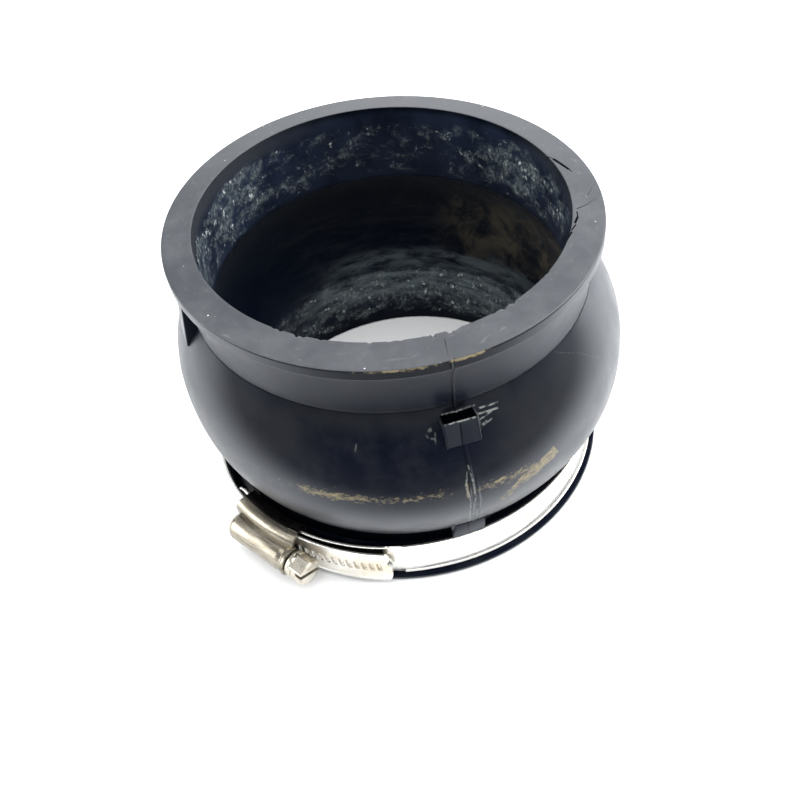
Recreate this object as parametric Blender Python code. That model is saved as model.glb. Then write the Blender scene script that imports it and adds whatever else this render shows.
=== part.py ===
"""Moulded rubber exhaust joint with a worm-drive clamp in its lower groove.

Metres, +Z up. The origin is on the joint's axis, at the plane that its lower end stands on.
Azimuths are in degrees about +Z from +X, and the clamp's screw points towards rising azimuth.
"""

import math

import bmesh
import bpy
from mathutils import Matrix, Vector

MM = 0.001

# Bore through the sleeve, which the two pipe ends set
SLEEVE_BORE_RADIUS = 47.0 * MM
TOP_COLLAR_LENGTH = 23.2 * MM
BOTTOM_COLLAR_LENGTH = 22.5 * MM
BORE_CHAMFER = 0.3 * MM

# Rubber sleeve: wall thicknesses over the bore, and heights stacked from the foot upwards
GROOVE_WALL = 6.6 * MM
END_LIP_PROUD = 2.8 * MM
END_LIP_HEIGHT = 1.6 * MM
GROOVE_HEADROOM = 3.6 * MM
BELLY_SKIRT_HEIGHT = 2.8 * MM
BELLY_SKIRT_LEAN = 0.5 * MM
BELLY_FOOT_PROUD = 1.7 * MM
BELLY_BULGE = 5.2 * MM
BELLY_WALL = 6.5 * MM
BELLY_BELOW = 18.9 * MM
BELLY_ABOVE = 23.6 * MM
BELLY_CURVE = 2.35
NECK_WALL = 4.9 * MM
NECK_FLARE = 2.3 * MM
NECK_CURVE = 1.6
NECK_LENGTH = 14.3 * MM
RIM_PROUD = 0.8 * MM
RIM_HEIGHT = 3.4 * MM
RIM_CROWN = 1.1 * MM
EDGE_ROUND = 0.6 * MM
PARTING_LINE_DEPTH = 0.25 * MM
SEAM_RIDGE_WIDTH = 2.6 * MM
SEAM_RIDGE_PROUD = 0.35 * MM

# The free end is a little oval, and the belly's foot sits a little to one side
OVAL_SHARE = 0.0256
OVAL_LONG_AZIMUTH = -37.5
BELLY_SIDE_SHIFT = 1.3 * MM

# Clamp-stop lugs moulded on the sleeve
SEAM_AZIMUTH = 282.0
SIDE_LUG_AZIMUTH = 190.1
UPPER_LUG_WIDTH = 8.6 * MM
UPPER_LUG_DROP = 1.6 * MM
UPPER_LUG_HEIGHT = 6.8 * MM
UPPER_LUG_PROUD = 2.5 * MM
SIDE_LUG_BELOW = 5.1 * MM
SIDE_LUG_ABOVE = 7.6 * MM
SIDE_LUG_PROUD = 1.2 * MM
LOWER_LUG_WIDTH = 9.2 * MM
LUG_ROOT = 1.5 * MM
LUG_EDGE = 0.35 * MM
LUG_FOOT_PROUD = 0.15 * MM

# Clearance kept between pieces that touch on the real joint
CLEARANCE = 0.3 * MM

# Clamp band
BAND_WIDTH = 12.0 * MM
BAND_THICKNESS = 0.8 * MM
BAND_EDGE_WIDTH = 1.1 * MM
BAND_EDGE_LIFT = 0.4 * MM
LAYER_GAP = 1.2 * MM
BAND_EASE_LENGTH = 42.0 * MM
TONGUE_LENGTH = 4.1 * MM
TONGUE_BEND = 1.8 * MM
TAIL_LENGTH = 26.4 * MM
TAIL_CORNER_CUT = 1.5 * MM
TAIL_NOTCH_DEPTH = 1.4 * MM

# Thread slots pressed into the band's tail
THREAD_PITCH = 2.1 * MM
SLOT_COUNT = 20
SLOT_WIDTH = 1.15 * MM
SLOT_LENGTH = 4.2 * MM
SLOT_DEPTH = 0.45 * MM
SLOT_FROM_END = 2.0 * MM

# Clamp housing
SCREW_AZIMUTH = 224.7
PLATE_THICKNESS = 0.7 * MM
SADDLE_BEHIND = 12.4 * MM
SADDLE_AHEAD = 9.4 * MM
SADDLE_HEADROOM = 1.6 * MM
SHOULDER_ROUND = 2.4 * MM
TUBE_BEHIND = 12.5 * MM
TUBE_AHEAD = 10.2 * MM
TUBE_DOME_LENGTH = 3.0 * MM
TUBE_RING_LENGTH = 1.1 * MM
TUBE_RING_PROUD = 0.25 * MM
TUBE_MOUTH_LENGTH = 0.8 * MM

# Clamp screw
WORM_RADIUS = 3.2 * MM
THREAD_DEPTH = 0.7 * MM
WORM_BEHIND = 8.6 * MM
JOURNAL_RADIUS = 2.3 * MM
COLLAR_RADIUS = 3.9 * MM
COLLAR_LENGTH = 1.9 * MM
HEX_ACROSS_FLATS = 7.0 * MM
HEX_LENGTH = 4.5 * MM
HEX_CHAMFER = 0.5 * MM
HEX_TURN = 20.0
DRIVE_SLOT_WIDTH = 1.2 * MM
DRIVE_SLOT_DEPTH = 2.2 * MM
DRIVE_SLOT_TURN = -24.0

# Facets
SLEEVE_STEPS = 64
BELLY_STEPS = 6
NECK_STEPS = 5
BORE_STEPS = 5
BAND_STEP_DEGREES = 4.0
SADDLE_STEPS = 10
TUBE_STEPS = 24
WORM_STEPS_ROUND = 16
WORM_STEPS_PER_TURN = 6

# Radii and heights that follow from the sizes above
NECK_RADIUS = SLEEVE_BORE_RADIUS + NECK_WALL
RIM_RADIUS = NECK_RADIUS + NECK_FLARE + RIM_PROUD
GROOVE_RADIUS = SLEEVE_BORE_RADIUS + GROOVE_WALL
END_LIP_RADIUS = GROOVE_RADIUS + END_LIP_PROUD
BELLY_FOOT_RADIUS = GROOVE_RADIUS + BELLY_FOOT_PROUD
BELLY_RADIUS = BELLY_FOOT_RADIUS + BELLY_BULGE
BAND_BOTTOM = END_LIP_HEIGHT + CLEARANCE
BAND_TOP = BAND_BOTTOM + BAND_WIDTH
SCREW_HEIGHT = BAND_BOTTOM + BAND_WIDTH / 2
GROOVE_TOP = BAND_TOP + GROOVE_HEADROOM
BELLY_FOOT = GROOVE_TOP + BELLY_SKIRT_HEIGHT
BELLY_WIDEST = BELLY_FOOT + BELLY_BELOW
NECK_FOOT = BELLY_WIDEST + BELLY_ABOVE
RIM_FOOT = NECK_FOOT + NECK_LENGTH
RIM_EDGE_TOP = RIM_FOOT + RIM_HEIGHT
TOP = RIM_EDGE_TOP + RIM_CROWN
SEAT_RADIUS = GROOVE_RADIUS + CLEARANCE
PLATE_TOP_RADIUS = SEAT_RADIUS + PLATE_THICKNESS
INNER_LAYER_RADIUS = PLATE_TOP_RADIUS + CLEARANCE
OUTER_LAYER_RADIUS = INNER_LAYER_RADIUS + BAND_THICKNESS + LAYER_GAP
SCREW_RADIUS = OUTER_LAYER_RADIUS + BAND_THICKNESS + CLEARANCE + WORM_RADIUS
BAND_PASSAGE_RADIUS = OUTER_LAYER_RADIUS + BAND_THICKNESS + BAND_EDGE_LIFT + CLEARANCE
SADDLE_CEILING_RADIUS = BAND_PASSAGE_RADIUS + SADDLE_HEADROOM
BORE_RADIUS = WORM_RADIUS + CLEARANCE
TUBE_RADIUS = BORE_RADIUS + PLATE_THICKNESS


def clear_scene():
    for obj in list(bpy.data.objects):
        bpy.data.objects.remove(obj, do_unlink=True)


def finish(name, colour, roughness, metallic):
    """A plain surface finish."""
    material = bpy.data.materials.new(name)
    material.use_nodes = True
    shader = material.node_tree.nodes["Principled BSDF"]
    shader.inputs["Base Color"].default_value = (*colour, 1.0)
    shader.inputs["Roughness"].default_value = roughness
    shader.inputs["Metallic"].default_value = metallic
    material.diffuse_color = (*colour, 1.0)
    return material


def add_object(name, mesh_data, material=None, smooth_under=35.0):
    """A scene object from a bmesh, shaded smooth below the given edge angle."""
    bmesh.ops.remove_doubles(mesh_data, verts=mesh_data.verts[:], dist=1e-6)
    bmesh.ops.recalc_face_normals(mesh_data, faces=mesh_data.faces[:])
    mesh = bpy.data.meshes.new(name)
    mesh_data.to_mesh(mesh)
    mesh_data.free()
    mesh.shade_smooth()
    mesh.set_sharp_from_angle(angle=math.radians(smooth_under))
    obj = bpy.data.objects.new(name, mesh)
    bpy.context.scene.collection.objects.link(obj)
    if material:
        mesh.materials.append(material)
    return obj


def hide_helper(obj):
    obj.hide_render = True
    obj.display_type = "WIRE"
    return obj


def boolean(target, tool, operation):
    modifier = target.modifiers.new(tool.name, "BOOLEAN")
    modifier.operation = operation
    modifier.solver = "EXACT"
    modifier.object = hide_helper(tool)


def arc(centre, radius, start, end, steps):
    """Points of a circular arc in a plane, angles in degrees."""
    points = []
    for i in range(steps + 1):
        angle = math.radians(start + (end - start) * i / steps)
        points.append((centre[0] + radius * math.cos(angle), centre[1] + radius * math.sin(angle)))
    return points


def ease(value, low, high):
    """0 below low, 1 above high, and a smooth rise between."""
    share = min(max((value - low) / (high - low), 0.0), 1.0)
    return share * share * (3 - 2 * share)


def turned(outline, steps, from_degrees=0.0, sweep_degrees=360.0):
    """A solid turned about +Z from a closed outline of (radius, height) points."""
    solid = bmesh.new()
    corners = [solid.verts.new((radius, 0.0, height)) for radius, height in outline]
    whole_turn = sweep_degrees == 360.0
    if whole_turn:
        edges = [solid.edges.new((a, b)) for a, b in zip(corners, corners[1:] + corners[:1])]
        start = corners + edges
    else:
        start = corners + [solid.faces.new(corners)]
    bmesh.ops.rotate(solid, verts=corners, cent=(0, 0, 0), matrix=Matrix.Rotation(math.radians(from_degrees), 3, "Z"))
    bmesh.ops.spin(solid, geom=start, cent=(0, 0, 0), axis=(0, 0, 1), angle=math.radians(sweep_degrees), steps=steps)
    return solid


def turned_on_axis(outline, steps):
    """A solid turned about +Z from an open outline whose ends lie on the axis."""
    solid = bmesh.new()
    corners = [solid.verts.new((radius, 0.0, height)) for radius, height in outline]
    edges = [solid.edges.new((a, b)) for a, b in zip(corners, corners[1:])]
    bmesh.ops.spin(solid, geom=corners + edges, cent=(0, 0, 0), axis=(0, 0, 1), angle=math.tau, steps=steps)
    return solid


def prism(outline, near, far):
    """A solid between two heights from a closed outline of (x, y) points."""
    solid = bmesh.new()
    floor = solid.faces.new([solid.verts.new((x, y, near)) for x, y in outline])
    grown = bmesh.ops.extrude_face_region(solid, geom=[floor])
    moved = [item for item in grown["geom"] if isinstance(item, bmesh.types.BMVert)]
    bmesh.ops.translate(solid, verts=moved, vec=(0, 0, far - near))
    return solid


def radial_frame(azimuth, radius=0.0, height=0.0):
    """Local X points outwards, local Y along the tangent and local Z up."""
    turn = Matrix.Rotation(math.radians(azimuth), 4, "Z")
    return turn @ Matrix.Translation((radius, 0.0, height))


def screw_frame():
    """Local Z runs along the screw towards its head, and local X points away from the sleeve."""
    lay_down = Matrix(((1, 0, 0, 0), (0, 0, 1, 0), (0, -1, 0, 0), (0, 0, 0, 1)))
    return radial_frame(SCREW_AZIMUTH, SCREW_RADIUS, SCREW_HEIGHT) @ lay_down


def belly_radius(height):
    """Outer radius of the belly, steepest at its foot and at the neck."""
    if height < BELLY_WIDEST:
        share = (BELLY_WIDEST - height) / BELLY_BELOW
        return BELLY_RADIUS - (BELLY_RADIUS - BELLY_FOOT_RADIUS) * share ** BELLY_CURVE
    share = (height - BELLY_WIDEST) / BELLY_ABOVE
    return BELLY_RADIUS - (BELLY_RADIUS - NECK_RADIUS) * share ** BELLY_CURVE


def neck_radius(height):
    """Outer radius of the neck, which flares towards the rim."""
    share = max((height - NECK_FOOT) / NECK_LENGTH, 0.0)
    return NECK_RADIUS + NECK_FLARE * share ** NECK_CURVE


def foot_outline():
    """End lip, clamp groove and the skirt under the belly."""
    round_off = min(EDGE_ROUND, 0.45 * END_LIP_HEIGHT)
    inset = END_LIP_RADIUS - round_off
    points = [(SLEEVE_BORE_RADIUS + BORE_CHAMFER, 0.0)]
    points += arc((inset, round_off), round_off, -90, 0, 2)
    points += arc((inset, END_LIP_HEIGHT - round_off), round_off, 0, 90, 2)
    points += [(GROOVE_RADIUS, END_LIP_HEIGHT), (GROOVE_RADIUS, BAND_TOP + CLEARANCE), (GROOVE_RADIUS, GROOVE_TOP)]
    points.append((BELLY_FOOT_RADIUS - BELLY_SKIRT_LEAN, GROOVE_TOP))
    return points


def belly_outline():
    """The belly from its foot to the parting line at the neck."""
    points = []
    for i in range(BELLY_STEPS):
        height = BELLY_WIDEST - BELLY_BELOW * math.cos(math.pi / 2 * i / BELLY_STEPS)
        points.append((belly_radius(height), height))
    for i in range(BELLY_STEPS + 1):
        height = BELLY_WIDEST + BELLY_ABOVE * math.sin(math.pi / 2 * i / (BELLY_STEPS + 0.6))
        points.append((belly_radius(height), height))
    points.append((NECK_RADIUS - PARTING_LINE_DEPTH, NECK_FOOT))
    return points


def neck_and_rim_outline():
    """The flared neck, the thin rim and its top face, which rises a little towards the bore."""
    points = []
    for i in range(NECK_STEPS + 1):
        height = NECK_FOOT + NECK_LENGTH * (0.03 + 0.97 * i / NECK_STEPS)
        points.append((neck_radius(height), height))
    round_off = min(EDGE_ROUND, 0.45 * RIM_HEIGHT)
    points.append((RIM_RADIUS, RIM_FOOT + round_off))
    points += arc((RIM_RADIUS - round_off, RIM_EDGE_TOP - round_off), round_off, 0, 80, 3)
    points.append((SLEEVE_BORE_RADIUS + BORE_CHAMFER, TOP))
    return points


def bore_outline():
    """Down the inside: the top collar, the wide chamber in the belly and the bottom collar."""
    widest = BELLY_RADIUS - BELLY_WALL
    collar_foot = TOP - TOP_COLLAR_LENGTH
    points = [(SLEEVE_BORE_RADIUS, TOP - BORE_CHAMFER), (SLEEVE_BORE_RADIUS, collar_foot)]
    for i in range(1, BORE_STEPS + 1):
        share = math.cos(math.pi / 2 * i / BORE_STEPS)
        radius = widest - (widest - SLEEVE_BORE_RADIUS) * share ** BELLY_CURVE
        points.append((radius, BELLY_WIDEST + (collar_foot - BELLY_WIDEST) * share))
    for i in range(1, BORE_STEPS + 1):
        share = math.sin(math.pi / 2 * i / BORE_STEPS)
        radius = widest - (widest - SLEEVE_BORE_RADIUS) * share ** BELLY_CURVE
        points.append((radius, BELLY_WIDEST + (BOTTOM_COLLAR_LENGTH - BELLY_WIDEST) * share))
    points.append((SLEEVE_BORE_RADIUS, BORE_CHAMFER))
    return points


def settle(mesh_data):
    """Gives a turned piece of the sleeve its slight oval and the belly's side shift."""
    long_axis = math.radians(OVAL_LONG_AZIMUTH)
    for vertex in mesh_data.verts:
        x, y, height = vertex.co
        angle = math.atan2(y, x)
        free = min(max((height - GROOVE_TOP) / (NECK_FOOT - GROOVE_TOP), 0.0), 1.0)
        stretch = 1 + OVAL_SHARE * free * math.cos(2 * (angle - long_axis))
        foot = ease(height, BAND_TOP + CLEARANCE, GROOVE_TOP)
        shift = BELLY_SIDE_SHIFT * foot * (1 - ease(height, BELLY_FOOT, NECK_FOOT))
        vertex.co = Vector((x * stretch + shift, y * stretch, height))


def lug(name, section, width, azimuth):
    """A block of the given (radius, height) section, as wide as stated along the tangent."""
    block = prism(section, -width / 2, width / 2)
    upright = Matrix(((1, 0, 0, 0), (0, 0, -1, 0), (0, 1, 0, 0), (0, 0, 0, 1)))
    bmesh.ops.transform(block, matrix=radial_frame(azimuth) @ upright, verts=block.verts[:])
    bmesh.ops.bevel(block, geom=block.edges[:], offset=LUG_EDGE, segments=1, affect="EDGES")
    settle(block)
    return add_object(name, block)


def upper_lug():
    top = NECK_FOOT - UPPER_LUG_DROP
    foot = top - UPPER_LUG_HEIGHT
    root = min(belly_radius(top), NECK_RADIUS) - LUG_ROOT
    section = [
        (root, foot),
        (belly_radius(foot) + LUG_FOOT_PROUD, foot),
        (belly_radius(top) + UPPER_LUG_PROUD, top),
        (root, top),
    ]
    return lug("upper_lug", section, UPPER_LUG_WIDTH, SEAM_AZIMUTH)


def side_lug():
    """A web that fills the hollow between the belly and the neck's flare."""
    foot = NECK_FOOT - SIDE_LUG_BELOW
    top = NECK_FOOT + SIDE_LUG_ABOVE
    root = NECK_RADIUS - LUG_ROOT
    crown = top + SIDE_LUG_PROUD + LUG_ROOT
    section = [
        (root, foot),
        (belly_radius(foot) + LUG_FOOT_PROUD, foot),
        (neck_radius(top) + SIDE_LUG_PROUD, top),
        (root, crown),
    ]
    return lug("side_lug", section, UPPER_LUG_WIDTH, SIDE_LUG_AZIMUTH)


def lower_lug():
    """A block that bridges the groove, from just above the band to the belly's foot."""
    foot = BAND_TOP + 2 * CLEARANCE
    top = BELLY_FOOT + LUG_FOOT_PROUD
    root = GROOVE_RADIUS - LUG_ROOT
    section = [
        (root, foot),
        (BELLY_FOOT_RADIUS - LUG_FOOT_PROUD, foot),
        (BELLY_FOOT_RADIUS + LUG_FOOT_PROUD, top),
        (root, top),
    ]
    return lug("lower_lug", section, LOWER_LUG_WIDTH, SEAM_AZIMUTH)


def seam_ridge():
    """The low strip on the belly where the two mould halves met, from the belly's foot to the upper lug."""
    foot = BELLY_FOOT + SEAM_RIDGE_PROUD
    top = NECK_FOOT - UPPER_LUG_DROP - UPPER_LUG_HEIGHT + LUG_EDGE
    inner = [height for radius, height in belly_outline() if foot + 3 * LUG_EDGE < height < top - 3 * LUG_EDGE]
    heights = [foot] + inner + [top]
    front = [(belly_radius(height) + SEAM_RIDGE_PROUD, height) for height in heights]
    back = [(belly_radius(height) - LUG_ROOT, height) for height in reversed(heights)]
    return lug("seam_ridge", back[::-1] + front[::-1], SEAM_RIDGE_WIDTH, SEAM_AZIMUTH)


def make_sleeve(material):
    outline = foot_outline() + belly_outline() + neck_and_rim_outline() + bore_outline()
    body = turned(outline, SLEEVE_STEPS)
    settle(body)
    sleeve = add_object("rubber_sleeve", body, material)
    for block in (seam_ridge(), upper_lug(), side_lug(), lower_lug()):
        boolean(sleeve, block, "UNION")
    return sleeve


def degrees_along(length, radius):
    return math.degrees(length / radius)


def band_angles():
    """Unwrapped azimuths at which the band starts, changes its run and ends."""
    behind = degrees_along(SADDLE_BEHIND, SCREW_RADIUS)
    ahead = degrees_along(SADDLE_AHEAD, SCREW_RADIUS)
    ease_run = degrees_along(BAND_EASE_LENGTH, SEAT_RADIUS)
    angles = {}
    angles["start"] = SCREW_AZIMUTH - behind - degrees_along(TONGUE_LENGTH, INNER_LAYER_RADIUS)
    angles["leaves_plate"] = SCREW_AZIMUTH + ahead
    angles["on_seat"] = angles["leaves_plate"] + ease_run
    angles["back_at_saddle"] = 360 + SCREW_AZIMUTH - behind
    angles["leaves_seat"] = angles["back_at_saddle"] - ease_run
    angles["end"] = 360 + SCREW_AZIMUTH + ahead + degrees_along(TAIL_LENGTH, OUTER_LAYER_RADIUS)
    return angles


def band_radius(angle, angles):
    """Radius of the band's inner face: on the plate, down on the seat, then up over its own start."""
    off_plate = ease(angle, angles["leaves_plate"], angles["on_seat"])
    onto_top = ease(angle, angles["leaves_seat"], angles["back_at_saddle"])
    radius = INNER_LAYER_RADIUS + (SEAT_RADIUS - INNER_LAYER_RADIUS) * off_plate
    radius += (OUTER_LAYER_RADIUS - SEAT_RADIUS) * onto_top
    bend_end = angles["start"] + degrees_along(TONGUE_BEND, INNER_LAYER_RADIUS)
    tongue_rise = LAYER_GAP - CLEARANCE - BAND_EDGE_LIFT
    return radius + tongue_rise * (1 - ease(angle, angles["start"], bend_end))


def band_section():
    """(outward offset, height) points of the strip, whose two edges turn outwards."""
    low, high = BAND_BOTTOM, BAND_TOP
    inner = [(BAND_EDGE_LIFT, low), (0.0, low + BAND_EDGE_WIDTH), (0.0, high - BAND_EDGE_WIDTH), (BAND_EDGE_LIFT, high)]
    outer = [(offset + BAND_THICKNESS, height) for offset, height in reversed(inner)]
    return inner + outer


def tail_end_cutter(angles):
    """Cuts the corner, the small notch and the rounded lobe at the tail's end."""
    depth = BAND_WIDTH
    outline = [(-TAIL_CORNER_CUT, depth + MM), (-TAIL_CORNER_CUT, depth), (-0.3 * TAIL_CORNER_CUT, 0.81 * depth)]
    outline += [(-TAIL_NOTCH_DEPTH, 0.6 * depth), (0.0, 0.3 * depth), (-0.15 * TAIL_CORNER_CUT, 0.1 * depth)]
    outline += [(-TAIL_CORNER_CUT, 0.0), (-TAIL_CORNER_CUT, -MM), (3 * MM, -MM), (3 * MM, depth + MM)]
    cutter = prism(outline, -2 * MM, 3 * MM)
    stand_up = Matrix(((0, 0, 1, 0), (1, 0, 0, 0), (0, 1, 0, 0), (0, 0, 0, 1)))
    place = radial_frame(angles["end"], OUTER_LAYER_RADIUS, BAND_BOTTOM) @ stand_up
    bmesh.ops.transform(cutter, matrix=place, verts=cutter.verts[:])
    return add_object("tail_end_cutter", cutter)


def slot_cutters(angles):
    """Round-ended pockets, leaning by the thread's helix angle."""
    reach = BAND_THICKNESS
    lean = math.atan2(THREAD_PITCH, math.tau * WORM_RADIUS)
    radius = SLOT_WIDTH / 2
    half = SLOT_LENGTH / 2 - radius
    outline = arc((0.0, half), radius, 0, 180, 4) + arc((0.0, -half), radius, 180, 360, 4)
    cutters = bmesh.new()
    stand_up = Matrix(((0, 0, 1, 0), (1, 0, 0, 0), (0, 1, 0, 0), (0, 0, 0, 1)))
    outer_face = OUTER_LAYER_RADIUS + BAND_THICKNESS
    for i in range(SLOT_COUNT):
        along = SLOT_FROM_END + TAIL_NOTCH_DEPTH + i * THREAD_PITCH
        pocket = prism(outline, -SLOT_DEPTH, reach)
        place = radial_frame(angles["end"] - degrees_along(along, outer_face), outer_face, SCREW_HEIGHT)
        turn = Matrix.Rotation(lean, 4, "Z")
        bmesh.ops.transform(pocket, matrix=place @ stand_up @ turn, verts=pocket.verts[:])
        mesh = bpy.data.meshes.new("pocket")
        pocket.to_mesh(mesh)
        pocket.free()
        cutters.from_mesh(mesh)
        bpy.data.meshes.remove(mesh)
    return add_object("slot_cutters", cutters)


def make_band(material):
    angles = band_angles()
    steps = round((angles["end"] - angles["start"]) / BAND_STEP_DEGREES)
    bend = degrees_along(TONGUE_BEND, INNER_LAYER_RADIUS)
    stations = [angles["start"] + bend * i / 3 for i in range(3)]
    first = angles["start"] + bend
    stations += [first + (angles["end"] - first) * i / steps for i in range(steps + 1)]
    strip = bmesh.new()
    rings = []
    for angle in stations:
        radius = band_radius(angle, angles)
        place = radial_frame(angle)
        rings.append([strip.verts.new(place @ Vector((radius + out, 0, z))) for out, z in band_section()])
    for ring, following in zip(rings, rings[1:]):
        for i in range(len(ring)):
            j = (i + 1) % len(ring)
            strip.faces.new((ring[i], ring[j], following[j], following[i]))
    strip.faces.new(rings[0])
    strip.faces.new(reversed(rings[-1]))
    band = add_object("clamp_band", strip, material, smooth_under=25.0)
    boolean(band, slot_cutters(angles), "DIFFERENCE")
    boolean(band, tail_end_cutter(angles), "DIFFERENCE")
    return band


def saddle_block(sweep_from, sweep):
    """The saddle's outside: a flat-topped hump over the band, rounded at its upper shoulder."""
    outside = SADDLE_CEILING_RADIUS + PLATE_THICKNESS
    low = BAND_BOTTOM - CLEARANCE - PLATE_THICKNESS
    high = BAND_TOP + CLEARANCE + PLATE_THICKNESS
    lip = END_LIP_RADIUS + CLEARANCE
    outline = [(SEAT_RADIUS, BAND_BOTTOM), (lip, BAND_BOTTOM), (lip, low)]
    outline += arc((outside - EDGE_ROUND, low + EDGE_ROUND), EDGE_ROUND, -90, 0, 2)
    outline += arc((outside - SHOULDER_ROUND, high - SHOULDER_ROUND), SHOULDER_ROUND, 0, 90, 4)
    outline += [(SEAT_RADIUS + EDGE_ROUND, high), (SEAT_RADIUS, high - EDGE_ROUND)]
    return turned(outline, SADDLE_STEPS, sweep_from, sweep)


def band_space(ceiling, steps, sweep_from, sweep):
    """The space for the band's two layers, open below where the end lip is in the way."""
    low = BAND_BOTTOM - CLEARANCE
    high = BAND_TOP + CLEARANCE
    lip = END_LIP_RADIUS + CLEARANCE
    inner_round = max(SHOULDER_ROUND - PLATE_THICKNESS, 0.1 * MM)
    outline = [(PLATE_TOP_RADIUS, BAND_BOTTOM - MM), (lip, BAND_BOTTOM - MM), (lip, low)]
    outline += [(ceiling, low)]
    outline += arc((ceiling - inner_round, high - inner_round), inner_round, 0, 90, 3)
    outline += [(PLATE_TOP_RADIUS, high)]
    return turned(outline, steps, sweep_from, sweep)


def tube_outside():
    """Domed at the rear, with a rolled ring at the mouth."""
    dome = []
    for i in range(5):
        angle = math.pi / 2 * i / 4
        height = -TUBE_BEHIND + TUBE_DOME_LENGTH * (1 - math.cos(angle))
        dome.append((TUBE_RADIUS * math.sin(angle), height))
    ring = TUBE_RADIUS + TUBE_RING_PROUD
    ring_foot = TUBE_AHEAD - TUBE_RING_LENGTH
    mouth = [(TUBE_RADIUS, ring_foot - TUBE_RING_PROUD), (ring, ring_foot), (ring, TUBE_AHEAD), (0.0, TUBE_AHEAD)]
    return turned_on_axis(dome + mouth, TUBE_STEPS)


def tube_inside():
    """The screw's bore, closed by the dome behind and narrowed at the mouth to hold the worm."""
    rear = -TUBE_BEHIND + PLATE_THICKNESS
    length = TUBE_DOME_LENGTH
    points = []
    for i in range(5):
        angle = math.pi / 2 * i / 4
        points.append((BORE_RADIUS * math.sin(angle), rear + length * (1 - math.cos(angle))))
    step = TUBE_AHEAD - TUBE_MOUTH_LENGTH
    mouth = JOURNAL_RADIUS + CLEARANCE
    points += [(BORE_RADIUS, step), (mouth, step), (mouth, TUBE_AHEAD + MM), (0.0, TUBE_AHEAD + MM)]
    return turned_on_axis(points, TUBE_STEPS)


def make_housing(material):
    behind = degrees_along(SADDLE_BEHIND, SCREW_RADIUS)
    ahead = degrees_along(SADDLE_AHEAD, SCREW_RADIUS)
    spare = degrees_along(TUBE_AHEAD, SCREW_RADIUS)
    start = SCREW_AZIMUTH - behind
    housing = add_object("clamp_housing", saddle_block(start, behind + ahead), material)
    outside = tube_outside()
    inside = tube_inside()
    for piece in (outside, inside):
        bmesh.ops.transform(piece, matrix=screw_frame(), verts=piece.verts[:])
    sweep = behind + ahead
    channel = band_space(SADDLE_CEILING_RADIUS, SADDLE_STEPS + 2, start - 0.05 * sweep, 1.06 * sweep)
    passage = band_space(BAND_PASSAGE_RADIUS, SADDLE_STEPS + 8, start - spare, sweep + 2 * spare)
    boolean(housing, add_object("tube_outside", outside), "UNION")
    boolean(housing, add_object("saddle_channel", channel), "DIFFERENCE")
    boolean(housing, add_object("band_passage", passage), "DIFFERENCE")
    boolean(housing, add_object("tube_inside", inside), "DIFFERENCE")
    return housing


def worm(length):
    """A threaded bar along +Z from 0, as one closed skin whose radius follows a right-hand thread."""
    per_turn = WORM_STEPS_PER_TURN
    rows = round(length / THREAD_PITCH * per_turn)
    skin = bmesh.new()
    rings = []
    for row in range(rows + 1):
        height = length * row / rows
        ring = []
        for column in range(WORM_STEPS_ROUND):
            angle = math.tau * column / WORM_STEPS_ROUND
            phase = (height / THREAD_PITCH - angle / math.tau) % 1.0
            crest = min(max(1.5 - abs(phase - 0.5) * 5, 0.0), 1.0)
            run_out = ease(min(height, length - height), 0.0, THREAD_PITCH / 2)
            radius = WORM_RADIUS - THREAD_DEPTH + THREAD_DEPTH * crest * run_out
            ring.append(skin.verts.new((radius * math.cos(angle), radius * math.sin(angle), height)))
        rings.append(ring)
    for ring, following in zip(rings, rings[1:]):
        for i in range(WORM_STEPS_ROUND):
            j = (i + 1) % WORM_STEPS_ROUND
            skin.faces.new((ring[i], ring[j], following[j], following[i]))
    skin.faces.new(list(reversed(rings[0])))
    skin.faces.new(rings[-1])
    return skin


def hexagon_head(foot):
    """A hexagon bar with its end face turned to a chamfer."""
    corner = HEX_ACROSS_FLATS / math.sqrt(3)
    turns = [math.radians(HEX_TURN + 60 * i) for i in range(6)]
    outline = [(corner * math.cos(turn), corner * math.sin(turn)) for turn in turns]
    head = prism(outline, foot, foot + HEX_LENGTH)
    end = [edge for edge in head.edges if all(v.co.z > foot + HEX_LENGTH / 2 for v in edge.verts)]
    bmesh.ops.bevel(head, geom=end, offset=HEX_CHAMFER, segments=1, affect="EDGES")
    return head


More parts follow.
